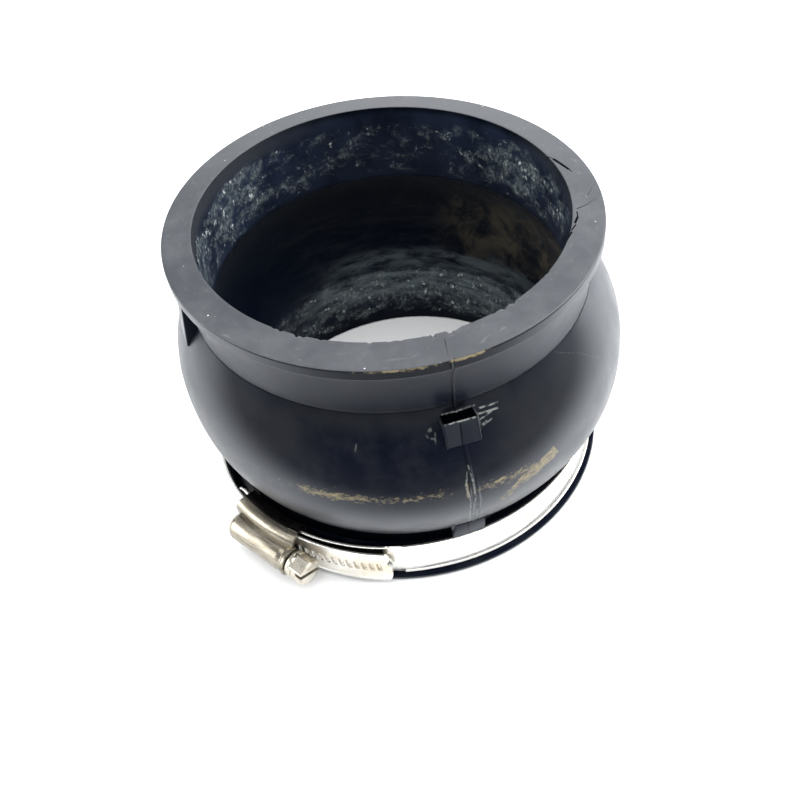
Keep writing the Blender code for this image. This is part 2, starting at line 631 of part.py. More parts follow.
def make_screw(material):
    """Worm, journal, collar and slotted hexagon head, with the origin on the screw's axis."""
    worm_ahead = TUBE_AHEAD - TUBE_MOUTH_LENGTH - CLEARANCE
    overlap = 0.4 * MM
    collar_foot = TUBE_AHEAD + CLEARANCE
    hex_foot = collar_foot + COLLAR_LENGTH
    bar = worm(WORM_BEHIND + worm_ahead)
    bmesh.ops.translate(bar, verts=bar.verts[:], vec=(0, 0, -WORM_BEHIND))
    screw = add_object("clamp_screw", bar, material)
    journal = turned_on_axis(
        [(0.0, worm_ahead - overlap), (JOURNAL_RADIUS, worm_ahead - overlap),
         (JOURNAL_RADIUS, collar_foot + overlap), (0.0, collar_foot + overlap)], TUBE_STEPS)
    collar_round = min(EDGE_ROUND, 0.4 * COLLAR_LENGTH) / 2
    collar = turned_on_axis(
        [(0.0, collar_foot), (COLLAR_RADIUS - collar_round, collar_foot), (COLLAR_RADIUS, collar_foot + collar_round),
         (COLLAR_RADIUS, hex_foot - collar_round), (COLLAR_RADIUS - collar_round, hex_foot), (0.0, hex_foot)],
        TUBE_STEPS)
    head = hexagon_head(hex_foot - overlap)
    top = hex_foot - overlap + HEX_LENGTH
    reach = HEX_ACROSS_FLATS
    half = DRIVE_SLOT_WIDTH / 2
    slot = prism([(-reach, -half), (reach, -half), (reach, half), (-reach, half)], top - DRIVE_SLOT_DEPTH, top + MM)
    bmesh.ops.rotate(
        slot, verts=slot.verts[:], cent=(0, 0, 0), matrix=Matrix.Rotation(math.radians(DRIVE_SLOT_TURN), 3, "Z"))
    tools = [("journal", journal, "UNION"), ("collar", collar, "UNION"), ("head", head, "UNION")]
    tools.append(("drive_slot", slot, "DIFFERENCE"))
    for name, solid, operation in tools:
        tool = add_object(name, solid)
        tool.matrix_world = screw_frame()
        boolean(screw, tool, operation)
    screw.matrix_world = screw_frame()
    return screw


def main():
    clear_scene()
    rubber = finish("black rubber", (0.016, 0.017, 0.021), 0.5, 0.0)
    strip = finish("bright stainless strip", (0.72, 0.71, 0.68), 0.3, 1.0)
    pressing = finish("stainless pressing", (0.6, 0.58, 0.54), 0.35, 1.0)
    turned_steel = finish("plated screw", (0.66, 0.64, 0.6), 0.32, 1.0)
    make_sleeve(rubber)
    make_band(strip)
    make_housing(pressing)
    make_screw(turned_steel)


main()
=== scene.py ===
import math

import bmesh
import bpy
from mathutils import Matrix, Vector, noise


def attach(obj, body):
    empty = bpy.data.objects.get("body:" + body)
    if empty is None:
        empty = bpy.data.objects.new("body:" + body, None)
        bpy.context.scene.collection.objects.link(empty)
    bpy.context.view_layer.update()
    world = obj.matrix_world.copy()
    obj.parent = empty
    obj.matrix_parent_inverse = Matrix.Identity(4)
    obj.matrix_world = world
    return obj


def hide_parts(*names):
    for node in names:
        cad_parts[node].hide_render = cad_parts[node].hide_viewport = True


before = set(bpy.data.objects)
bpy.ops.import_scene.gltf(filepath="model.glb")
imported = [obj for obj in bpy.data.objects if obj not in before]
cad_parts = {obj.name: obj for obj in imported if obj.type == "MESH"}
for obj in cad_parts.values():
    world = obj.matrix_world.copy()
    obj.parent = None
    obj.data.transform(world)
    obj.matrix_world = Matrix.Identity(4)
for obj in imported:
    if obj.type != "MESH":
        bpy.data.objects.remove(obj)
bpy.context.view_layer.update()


# Camera, floor and light. The joint stands on a white sweep under a broad soft light,
# and the camera looks down on it from the front at about 48 degrees.
MM = 0.001
CAMERA_PLACE = Vector((0.0, -0.20254, 0.23459))
CAMERA_LENS = 45.0
CAMERA_SENSOR = 36.0
CAMERA_PITCH = math.radians(47.8943)
CAMERA_YAW = math.radians(-0.4719)
CAMERA_ROLL = math.radians(8.5706)


def aim_camera():
    forward = Vector((
        math.sin(CAMERA_YAW) * math.cos(CAMERA_PITCH),
        math.cos(CAMERA_YAW) * math.cos(CAMERA_PITCH),
        -math.sin(CAMERA_PITCH),
    ))
    level_right = forward.cross(Vector((0, 0, 1))).normalized()
    level_up = level_right.cross(forward)
    right = level_right * math.cos(CAMERA_ROLL) - level_up * math.sin(CAMERA_ROLL)
    up = level_right * math.sin(CAMERA_ROLL) + level_up * math.cos(CAMERA_ROLL)
    lens = bpy.data.cameras.new("camera")
    lens.lens = CAMERA_LENS
    lens.sensor_width = CAMERA_SENSOR
    lens.clip_start = 0.01
    lens.clip_end = 20.0
    camera = bpy.data.objects.new("camera", lens)
    bpy.context.scene.collection.objects.link(camera)
    turn = Matrix((right, up, -forward)).transposed().to_4x4()
    camera.matrix_world = Matrix.Translation(CAMERA_PLACE) @ turn
    bpy.context.scene.camera = camera


def soft_light(name, place, target, size, power):
    light = bpy.data.lights.new(name, "AREA")
    light.shape = "RECTANGLE"
    light.size, light.size_y = size
    light.energy = power
    lamp = bpy.data.objects.new(name, light)
    bpy.context.scene.collection.objects.link(lamp)
    lamp.location = place
    lamp.rotation_euler = (Vector(target) - Vector(place)).to_track_quat("-Z", "Y").to_euler()


aim_camera()
soft_light("overhead_softbox", (0.05, -0.1, 1.0), (0, 0, 0.04), (1.0, 0.9), 9.0)
soft_light("rear_softbox", (0.12, 0.9, 0.45), (0, 0, 0.06), (0.75, 0.3), 3.8)
soft_light("left_softbox", (-0.75, 0.0, 0.3), (0, 0, 0.04), (0.5, 0.5), 4.5)
soft_light("right_softbox", (0.72, 0.02, 0.34), (0, 0, 0.05), (0.6, 0.6), 11.0)

SKY_WHITE = (0.96, 0.98, 1.0, 1.0)
SKY_STRENGTH = 0.72
FLOOR_WHITE = (0.93, 0.935, 0.94, 1.0)
FLOOR_REACH = 3.0
FLOOR_BELOW = 0.2 * MM

world = bpy.data.worlds.new("studio")
bpy.context.scene.world = world
world.use_nodes = True
sky = world.node_tree.nodes["Background"]
sky.inputs["Color"].default_value = SKY_WHITE
sky.inputs["Strength"].default_value = SKY_STRENGTH
bpy.context.scene.view_settings.view_transform = "Standard"

floor_mesh = bpy.data.meshes.new("floor")
corners = [(x * FLOOR_REACH, y * FLOOR_REACH, 0) for x, y in ((-1, -1), (1, -1), (1, 1), (-1, 1))]
floor_mesh.from_pydata(corners, [], [(0, 1, 2, 3)])
floor = bpy.data.objects.new("floor", floor_mesh)
floor.location.z = -FLOOR_BELOW
bpy.context.scene.collection.objects.link(floor)
floor_finish = bpy.data.materials.new("pale floor")
floor_finish.use_nodes = True
floor_shader = floor_finish.node_tree.nodes["Principled BSDF"]
floor_shader.inputs["Base Color"].default_value = FLOOR_WHITE
floor_shader.inputs["Roughness"].default_value = 0.7
floor_mesh.materials.append(floor_finish)


# Rubber sleeve. One thick compression moulding in black rubber, with a flared neck and flat rim above,
# a bulged body, a clamp groove and a thin lip at the foot. Two mould halves met along its front and back.
BORE_RADIUS = 47.0 * MM
BORE_CHAMFER = 0.3 * MM
TOP_COLLAR = 23.2 * MM
FOOT_COLLAR = 22.5 * MM
LIP_RADIUS = 56.4 * MM
LIP_HEIGHT = 1.6 * MM
GROOVE_RADIUS = 53.6 * MM
GROOVE_TOP = 17.5 * MM
BAND_TOP = 13.9 * MM
FOOT_RADIUS = 55.3 * MM
FOOT_HEIGHT = 20.3 * MM
BELLY_RADIUS = 60.5 * MM
BELLY_WALL = 6.5 * MM
BELLY_HEIGHT = 39.2 * MM
BELLY_CURVE = 2.35
NECK_HEIGHT = 62.8 * MM
NECK_RADIUS = 51.9 * MM
NECK_FLARE = 2.3 * MM
NECK_CURVE = 1.6
RIM_HEIGHT = 77.1 * MM
RIM_RADIUS = 55.0 * MM
RIM_EDGE = 80.5 * MM
RIM_TOP = 81.6 * MM
EDGE_ROUND = 0.55 * MM
SEAM_DEGREES = 282.0
SEAM = math.radians(SEAM_DEGREES)
LONG_AXIS = math.radians(-37.5)
OVAL_SHARE = 0.0256
SIDE_SHIFT = 1.3 * MM
LUG_WIDTH = 8.6 * MM
LOWER_LUG_WIDTH = 9.2 * MM
SIDE_LUG_DEGREES = 190.1
LUG_ROOT = 1.5 * MM
LUG_FOOT_PROUD = 0.15 * MM
LUG_EDGE = 0.38 * MM
SLEEVE_TURNS = 340
SEAM_TURNS = 30
SHARP_EDGE = 30.0


def ease(value, low, high):
    share = min(max((value - low) / (high - low), 0.0), 1.0)
    return share * share * (3 - 2 * share)


def bump(value, middle, half_width):
    """1 at the middle, falling smoothly to 0 half a width away."""
    return 1 - ease(abs(value - middle), 0.0, half_width)


def arc(centre, radius, start, end, steps):
    points = []
    for i in range(steps + 1):
        angle = math.radians(start + (end - start) * i / steps)
        points.append((centre[0] + radius * math.cos(angle), centre[1] + radius * math.sin(angle)))
    return points


def belly_radius(z):
    if z < BELLY_HEIGHT:
        share = (BELLY_HEIGHT - z) / (BELLY_HEIGHT - FOOT_HEIGHT)
        return BELLY_RADIUS - (BELLY_RADIUS - FOOT_RADIUS) * share ** BELLY_CURVE
    share = (z - BELLY_HEIGHT) / (NECK_HEIGHT - BELLY_HEIGHT)
    return BELLY_RADIUS - (BELLY_RADIUS - NECK_RADIUS) * share ** BELLY_CURVE


def neck_radius(z):
    share = max((z - NECK_HEIGHT) / (RIM_HEIGHT - NECK_HEIGHT), 0.0)
    return NECK_RADIUS + NECK_FLARE * share ** NECK_CURVE


def straight(start, end, steps):
    """Points from start up to, but not including, end."""
    across, along = end[0] - start[0], end[1] - start[1]
    return [(start[0] + across * i / steps, start[1] + along * i / steps) for i in range(steps)]


def sleeve_outline():
    """(radius, height) points from the foot's inner edge, up the outside, and down through the bore."""
    edge = EDGE_ROUND
    points = straight((BORE_RADIUS + BORE_CHAMFER, 0.0), (LIP_RADIUS - edge, 0.0), 6)
    points += arc((LIP_RADIUS - edge, edge), edge, -90, 0, 4)
    points += arc((LIP_RADIUS - edge, LIP_HEIGHT - edge), edge, 0, 90, 4)
    points += straight((GROOVE_RADIUS + 0.4 * MM, LIP_HEIGHT), (GROOVE_RADIUS, LIP_HEIGHT + 0.3 * MM), 1)
    points += straight((GROOVE_RADIUS, LIP_HEIGHT + 0.4 * MM), (GROOVE_RADIUS, BAND_TOP + 0.3 * MM), 6)
    points += straight((GROOVE_RADIUS, BAND_TOP + 0.3 * MM), (GROOVE_RADIUS, GROOVE_TOP - 0.4 * MM), 3)
    points += straight((GROOVE_RADIUS, GROOVE_TOP - 0.4 * MM), (GROOVE_RADIUS + 0.4 * MM, GROOVE_TOP), 2)
    points += arc((FOOT_RADIUS - 0.85 * MM, GROOVE_TOP + 0.35 * MM), 0.35 * MM, -90, 0, 3)
    points += straight((FOOT_RADIUS - 0.45 * MM, GROOVE_TOP + 0.6 * MM), (FOOT_RADIUS, FOOT_HEIGHT), 4)
    steps = 46
    for i in range(steps):
        z = BELLY_HEIGHT - (BELLY_HEIGHT - FOOT_HEIGHT) * math.cos(math.pi / 2 * i / steps)
        points.append((belly_radius(z), z))
    for i in range(steps + 1):
        z = BELLY_HEIGHT + (NECK_HEIGHT - BELLY_HEIGHT) * math.sin(math.pi / 2 * i / (steps + 1.6))
        points.append((belly_radius(z), z))
    for offset, depth in ((-0.16, 0.06), (-0.05, 0.24), (0.08, 0.24), (0.2, 0.06)):
        z = NECK_HEIGHT + offset * MM
        points.append((NECK_RADIUS - depth * MM, z))
    steps = 26
    for i in range(1, steps + 1):
        z = NECK_HEIGHT + (RIM_HEIGHT - NECK_HEIGHT) * (0.02 + 0.98 * i / steps)
        points.append((neck_radius(z), z))
    points += arc((RIM_RADIUS - 0.3 * MM, RIM_HEIGHT + 0.5 * MM), 0.3 * MM, -60, 0, 3)
    points += straight((RIM_RADIUS, RIM_HEIGHT + 0.8 * MM), (RIM_RADIUS, RIM_EDGE - edge), 5)
    points += arc((RIM_RADIUS - edge, RIM_EDGE - edge), edge, 0, 82, 5)
    shoulder = (RIM_RADIUS - edge - 0.1 * MM, RIM_EDGE + 0.03 * MM)
    points += straight(shoulder, (BORE_RADIUS + 0.2 * MM, RIM_TOP), 26)
    points.append((BORE_RADIUS + 0.12 * MM, RIM_TOP - 0.03 * MM))
    points.append((BORE_RADIUS, RIM_TOP - 0.15 * MM))
    points += straight((BORE_RADIUS, RIM_TOP - 0.5 * MM), (BORE_RADIUS, RIM_TOP - TOP_COLLAR), 18)
    widest = BELLY_RADIUS - BELLY_WALL
    steps = 16
    for i in range(steps):
        share = math.cos(math.pi / 2 * i / steps)
        z = BELLY_HEIGHT + (RIM_TOP - TOP_COLLAR - BELLY_HEIGHT) * share
        points.append((widest - (widest - BORE_RADIUS) * share ** BELLY_CURVE, z))
    for i in range(steps + 1):
        share = math.sin(math.pi / 2 * i / steps)
        z = BELLY_HEIGHT + (FOOT_COLLAR - BELLY_HEIGHT) * share
        points.append((widest - (widest - BORE_RADIUS) * share ** BELLY_CURVE, z))
    points += straight((BORE_RADIUS, FOOT_COLLAR - 0.6 * MM), (BORE_RADIUS, BORE_CHAMFER), 10)
    points.append((BORE_RADIUS, BORE_CHAMFER))
    return points


def settled(x, y, z):
    """The free end is a little oval, and the belly's foot sits a little to the right."""
    angle = math.atan2(y, x)
    free = min(max((z - GROOVE_TOP) / (NECK_HEIGHT - GROOVE_TOP), 0.0), 1.0)
    stretch = 1 + OVAL_SHARE * free * math.cos(2 * (angle - LONG_AXIS))
    shift = SIDE_SHIFT * ease(z, BAND_TOP + 0.3 * MM, GROOVE_TOP) * (1 - ease(z, FOOT_HEIGHT, NECK_HEIGHT))
    return Vector((x * stretch + shift, y * stretch, z))


def torn_flash(z, across):
    """Height of the ridge left where the mould halves met, in metres. It is torn low on the belly."""
    ragged = noise.noise((z / (2.2 * MM), 3.0, 0.0))
    fine = 0.22 * MM * bump(across, 0.12 * MM * ragged, 0.45 * MM)
    low = bump(z, 34 * MM, 13 * MM)
    left = 0.6 * MM * bump(across, (-1.1 + 0.5 * ragged) * MM, 0.45 * MM)
    right = 0.5 * MM * bump(across, (0.9 + 0.6 * ragged) * MM, 0.5 * MM)
    return fine * (1 - low) + low * (left + right) * (0.8 + 0.5 * ragged)


def soft_surface(point, radius, z, angle):
    """The slight waves, pits and chipped edges of old rubber, always cut into the moulded form."""
    out = Vector((math.cos(angle), math.sin(angle), 0))
    wave = noise.noise(Vector((math.cos(angle) * 1.6, math.sin(angle) * 1.6, z / (26 * MM))))
    moved = point - out * (0.16 * MM * (0.5 + 0.5 * wave)) if LIP_HEIGHT < z < RIM_EDGE else point.copy()
    across = ((angle - SEAM + math.pi) % math.tau - math.pi) * radius
    outside = radius > 51.0 * MM and z > FOOT_HEIGHT + 0.4 * MM
    if outside and abs(across) < 3 * MM and z < RIM_HEIGHT:
        moved += out * torn_flash(z, across)
    if outside and z >= RIM_HEIGHT and radius > 54 * MM:
        moved -= out * (0.3 * MM * bump(across, 0.0, 0.35 * MM))
    if z > RIM_EDGE - 0.2 * MM:
        grain = noise.noise(point * 900)
        nick = max(noise.noise(Vector((angle * 46, 1.7, 0.0))) - 0.16, 0.0)
        near_bore = 1 - ease(radius, BORE_RADIUS, BORE_RADIUS + 1.3 * MM)
        front = ease(-math.sin(angle), 0.55, 0.85)
        dip = near_bore * (0.08 + 1.3 * front) * nick
        moved -= out * (-0.9 * MM * dip)
        moved.z -= 1.1 * MM * dip + 0.05 * MM * (0.5 + 0.5 * grain)
    return moved


def bridge(skin, rings):
    """Joins each ring of corners to the next one with a row of faces."""
    for ring, following in zip(rings, rings[1:]):
        for i in range(len(ring)):
            j = (i + 1) % len(ring)
            skin.faces.new((ring[i], ring[j], following[j], following[i]))


def closed_turning(outline, stations, shape):
    """A closed skin from a turned outline, each point moved by shape(point, radius, height, angle)."""
    skin = bmesh.new()
    rings = []
    for angle in stations:
        ring = []
        for radius, z in outline:
            point = settled(radius * math.cos(angle), radius * math.sin(angle), z)
            ring.append(skin.verts.new(shape(point, radius, z, angle)))
        rings.append(ring)
    bridge(skin, rings + rings[:1])
    bmesh.ops.recalc_face_normals(skin, faces=skin.faces[:])
    return skin


def smooth(mesh, sharp):
    """Shades the mesh smooth, apart from its edges sharper than the stated degrees."""
    mesh.shade_smooth()
    mesh.set_sharp_from_angle(angle=math.radians(sharp))


def add_piece(name, skin):
    mesh = bpy.data.meshes.new(name)
    skin.to_mesh(mesh)
    skin.free()
    smooth(mesh, 35.0)
    piece = bpy.data.objects.new(name, mesh)
    bpy.context.scene.collection.objects.link(piece)
    return piece


def carve(piece, tools, sharp):
    """Joins or cuts the piece with each (tool, operation), and keeps the result, with no finish yet."""
    for tool, operation in tools:
        cut = piece.modifiers.new(tool.name, "BOOLEAN")
        cut.operation = operation
        cut.solver = "MANIFOLD"
        cut.object = tool
    result = bpy.data.meshes.new_from_object(piece.evaluated_get(bpy.context.evaluated_depsgraph_get()))
    piece.modifiers.clear()
    old = piece.data
    piece.data = result
    bpy.data.meshes.remove(old)
    for tool, operation in tools:
        bpy.data.objects.remove(tool, do_unlink=True)
    result.materials.clear()
    smooth(result, sharp)


def prism(outline, near, far):
    """A straight bar along Z from a flat (x, y) outline."""
    solid = bmesh.new()
    base = solid.faces.new([solid.verts.new((x, y, near)) for x, y in outline])
    grown = bmesh.ops.extrude_face_region(solid, geom=[base])
    moved = [item for item in grown["geom"] if isinstance(item, bmesh.types.BMVert)]
    bmesh.ops.translate(solid, verts=moved, vec=(0, 0, far - near))
    bmesh.ops.recalc_face_normals(solid, faces=solid.faces[:])
    return solid


def break_edges(solid, width):
    bmesh.ops.bevel(solid, geom=solid.edges[:], offset=width, segments=3, profile=0.5, affect="EDGES")


def lug(name, section, width, azimuth):
    """A moulded clamp stop, to be joined on: a (radius, height) section as wide as stated."""
    block = prism(section, -width / 2, width / 2)
    upright = Matrix(((1, 0, 0, 0), (0, 0, -1, 0), (0, 1, 0, 0), (0, 0, 0, 1)))
    turn = Matrix.Rotation(math.radians(azimuth), 4, "Z")
    bmesh.ops.transform(block, matrix=turn @ upright, verts=block.verts[:])
    break_edges(block, LUG_EDGE)
    for vertex in block.verts:
        vertex.co = settled(*vertex.co)
    return add_piece(name, block), "UNION"


def make_lugs():
    """The upper and lower stops on the seam, and the one at the left side."""
    top, foot = 61.2 * MM, 54.4 * MM
    root = NECK_RADIUS - LUG_ROOT
    upper = [(root, foot), (belly_radius(foot) + LUG_FOOT_PROUD, foot)]
    upper += [(belly_radius(top) + 2.5 * MM, top), (root, top)]
    low, high = 57.7 * MM, 70.4 * MM
    side = [(root, low), (belly_radius(low) + LUG_FOOT_PROUD, low)]
    side += [(neck_radius(high) + 1.2 * MM, high), (root, high + 2.7 * MM)]
    base, crown = BAND_TOP + 0.6 * MM, FOOT_HEIGHT + LUG_FOOT_PROUD
    inner = GROOVE_RADIUS - LUG_ROOT
    lower = [(inner, base), (FOOT_RADIUS - LUG_FOOT_PROUD, base)]
    lower += [(FOOT_RADIUS + LUG_FOOT_PROUD, crown), (inner, crown)]
    return [
        lug("upper_lug", upper, LUG_WIDTH, SEAM_DEGREES),
        lug("side_lug", side, LUG_WIDTH, SIDE_LUG_DEGREES),
        lug("lower_lug", lower, LOWER_LUG_WIDTH, SEAM_DEGREES),
    ]


def seam_stations():
    """Evenly spaced angles, with finer ones across the mould seam."""
    stations = [math.tau * i / SLEEVE_TURNS for i in range(SLEEVE_TURNS)]
    span = math.radians(3.0)
    stations = [angle for angle in stations if abs(angle - SEAM) > span]
    stations += [SEAM - span + 2 * span * i / SEAM_TURNS for i in range(SEAM_TURNS + 1)]
    return sorted(stations)


def linked(socket, value):
    """Sets a socket to a number or an opaque colour, or links it to another socket."""
    if isinstance(value, bpy.types.NodeSocket):
        socket.id_data.links.new(value, socket)
    else:
        socket.default_value = (*value, 1.0) if isinstance(value, tuple) else value


def new_node(kind, *near):
    """A new node in the tree of the first node or socket that is given."""
    return next(item.id_data for item in near if hasattr(item, "id_data")).nodes.new(kind)


def fed(kind, names, *values):
    """A new node with its named sockets set or linked."""
    node = new_node(kind, *values)
    for name, value in zip(names, values):
        linked(node.inputs[name], value)
    return node


def calc(operation, *values):
    node = fed("ShaderNodeMath", range(len(values)), *values)
    node.operation = operation
    return node.outputs[0]


def plus(first, second):
    return calc("ADD", first, second)


def minus(first, second):
    return calc("SUBTRACT", first, second)


def times(first, *others):
    for other in others:
        first = calc("MULTIPLY", first, other)
    return first


def highest(first, *others):
    for other in others:
        first = calc("MAXIMUM", first, other)
    return first


def ramp(value, low, high, start=0.0, end=1.0):
    """A smooth change from start to end as the value goes from low to high."""
    names = ("Value", "From Min", "From Max", "To Min", "To Max")
    node = fed("ShaderNodeMapRange", names, value, low, high, start, end)
    node.interpolation_type = "SMOOTHSTEP"
    return node.outputs["Result"]


def between(value, low, high, soft):
    """1 between low and high, fading to 0 over soft on either side."""
    return times(ramp(value, low - soft, low + soft), ramp(value, high - soft, high + soft, 1.0, 0.0))


def clouds(where, scale, detail=4.0, roughness=0.6, warp=0.0):
    names = ("Vector", "Scale", "Detail", "Roughness", "Distortion")
    return fed("ShaderNodeTexNoise", names, where, scale, detail, roughness, warp).outputs["Fac"]


def grains(where, scale):
    return fed("ShaderNodeTexVoronoi", ("Vector", "Scale"), where, scale).outputs["Distance"]


def blend(share, first, second):
    node = new_node("ShaderNodeMix", share)
    node.data_type = "RGBA"
    for name, value in (("Factor", share), ("A", first), ("B", second)):
        linked(node.inputs[name], value)
    return node.outputs["Result"]


def layered(tone, layers):
    """Lays each (share, colour) over the tone in turn."""
    for share, colour in layers:
        tone = blend(share, tone, colour)
    return tone


def away(x, y):
    """Length of the line that runs x across and y along."""
    return calc("SQRT", plus(times(x, x), times(y, y)))


SHEET_ROUND = 0.36


def around_axis(shader):
    """Each skin point, its turns, radius and height, and its place once the skin is unrolled flat."""
    place = new_node("ShaderNodeTexCoord", shader).outputs["Object"]
    x, y, z = fed("ShaderNodeSeparateXYZ", ("Vector",), place).outputs
    turn = calc("FRACT", plus(calc("DIVIDE", calc("ARCTAN2", y, x), math.tau), 1.0))
    radius = away(x, y)
    sheet = fed("ShaderNodeCombineXYZ", ("X", "Y", "Z"), times(turn, SHEET_ROUND), radius, z)
    return place, turn, radius, z, sheet.outputs[0]


def stretched(where, scale):
    node = fed("ShaderNodeMapping", ("Vector",), where)
    node.inputs["Scale"].default_value = scale
    return node.outputs["Vector"]


def patches(turn, z, areas):
    """The strongest of soft areas: (degrees from and to, mm from and to, soft degrees and mm, strength)."""
    shares = []
    for start, end, low, high, soft_turn, soft_z, strength in areas:
        across = between(turn, start / 360, end / 360, soft_turn / 360)
        along = between(z, low * MM, high * MM, soft_z * MM)
        shares.append(times(across, along, strength))
    return highest(*shares)


def surface(name):
    """A new material and its shader."""
    material = bpy.data.materials.new(name)
    material.use_nodes = True
    return material, material.node_tree.nodes["Principled BSDF"]


def finished(shader, tone, roughness, height, depth, strength):
    """Gives the shader its colour and roughness, and a bump from the height."""
    dents = fed("ShaderNodeBump", ("Height", "Distance", "Strength"), height, depth, strength)
    for name, value in (("Base Color", tone), ("Roughness", roughness), ("Normal", dents.outputs[0])):
        linked(shader.inputs[name], value)


NAVY_BLACK = (0.0022, 0.0034, 0.0085)
WORN_BLACK = (0.0075, 0.009, 0.0135)
DRY_AND_SHEEN_BLACK = (0.013, 0.0142, 0.0172)
SCUFF_AND_HIGHLIGHT_GREY = (0.24, 0.25, 0.24)
SPLIT_BLACK = (0.0008, 0.001, 0.002)
LIT_LUG_GREY = (0.03, 0.033, 0.04)
LUG_TOP_BLACK = (0.0005, 0.0006, 0.001)
FOOT_GREY = (0.03, 0.033, 0.038)
SHADE_BLACK = (0.0006, 0.0008, 0.0014)
TAN_DIRT = (0.285, 0.238, 0.14)
GLOSS_TINT = (0.82, 0.9, 1.0, 1.0)
MM_PER_DEGREE = 0.98


def facing_away(shader, low, high, start, end):
    """Gloss that rises where the skin turns away from the eye."""
    return ramp(new_node("ShaderNodeLayerWeight", shader).outputs["Facing"], low, high, start, end)


def stroke(turn, z, start, end, width):
    """A mark between two (degrees, height in mm) points of the skin, as wide as stated in mm."""
    run = (end[0] - start[0]) * MM_PER_DEGREE
    rise = end[1] - start[1]
    length = math.hypot(run, rise)
    x = times(minus(times(turn, 360.0), start[0]), MM_PER_DEGREE)
    y = minus(times(z, 1000.0), start[1])
    along = plus(times(x, run / length), times(y, rise / length))
    across = minus(times(x, rise / length), times(y, run / length))
    line = ramp(calc("ABSOLUTE", across), width * 0.3, width * 0.7, 1.0, 0.0)
    return times(line, between(along, 0.0, length, 0.25))


def strokes(turn, z, marks):
    """The strongest of several marks, each (start, end, width, strength)."""
    return highest(*[times(stroke(turn, z, *mark), strength) for *mark, strength in marks])


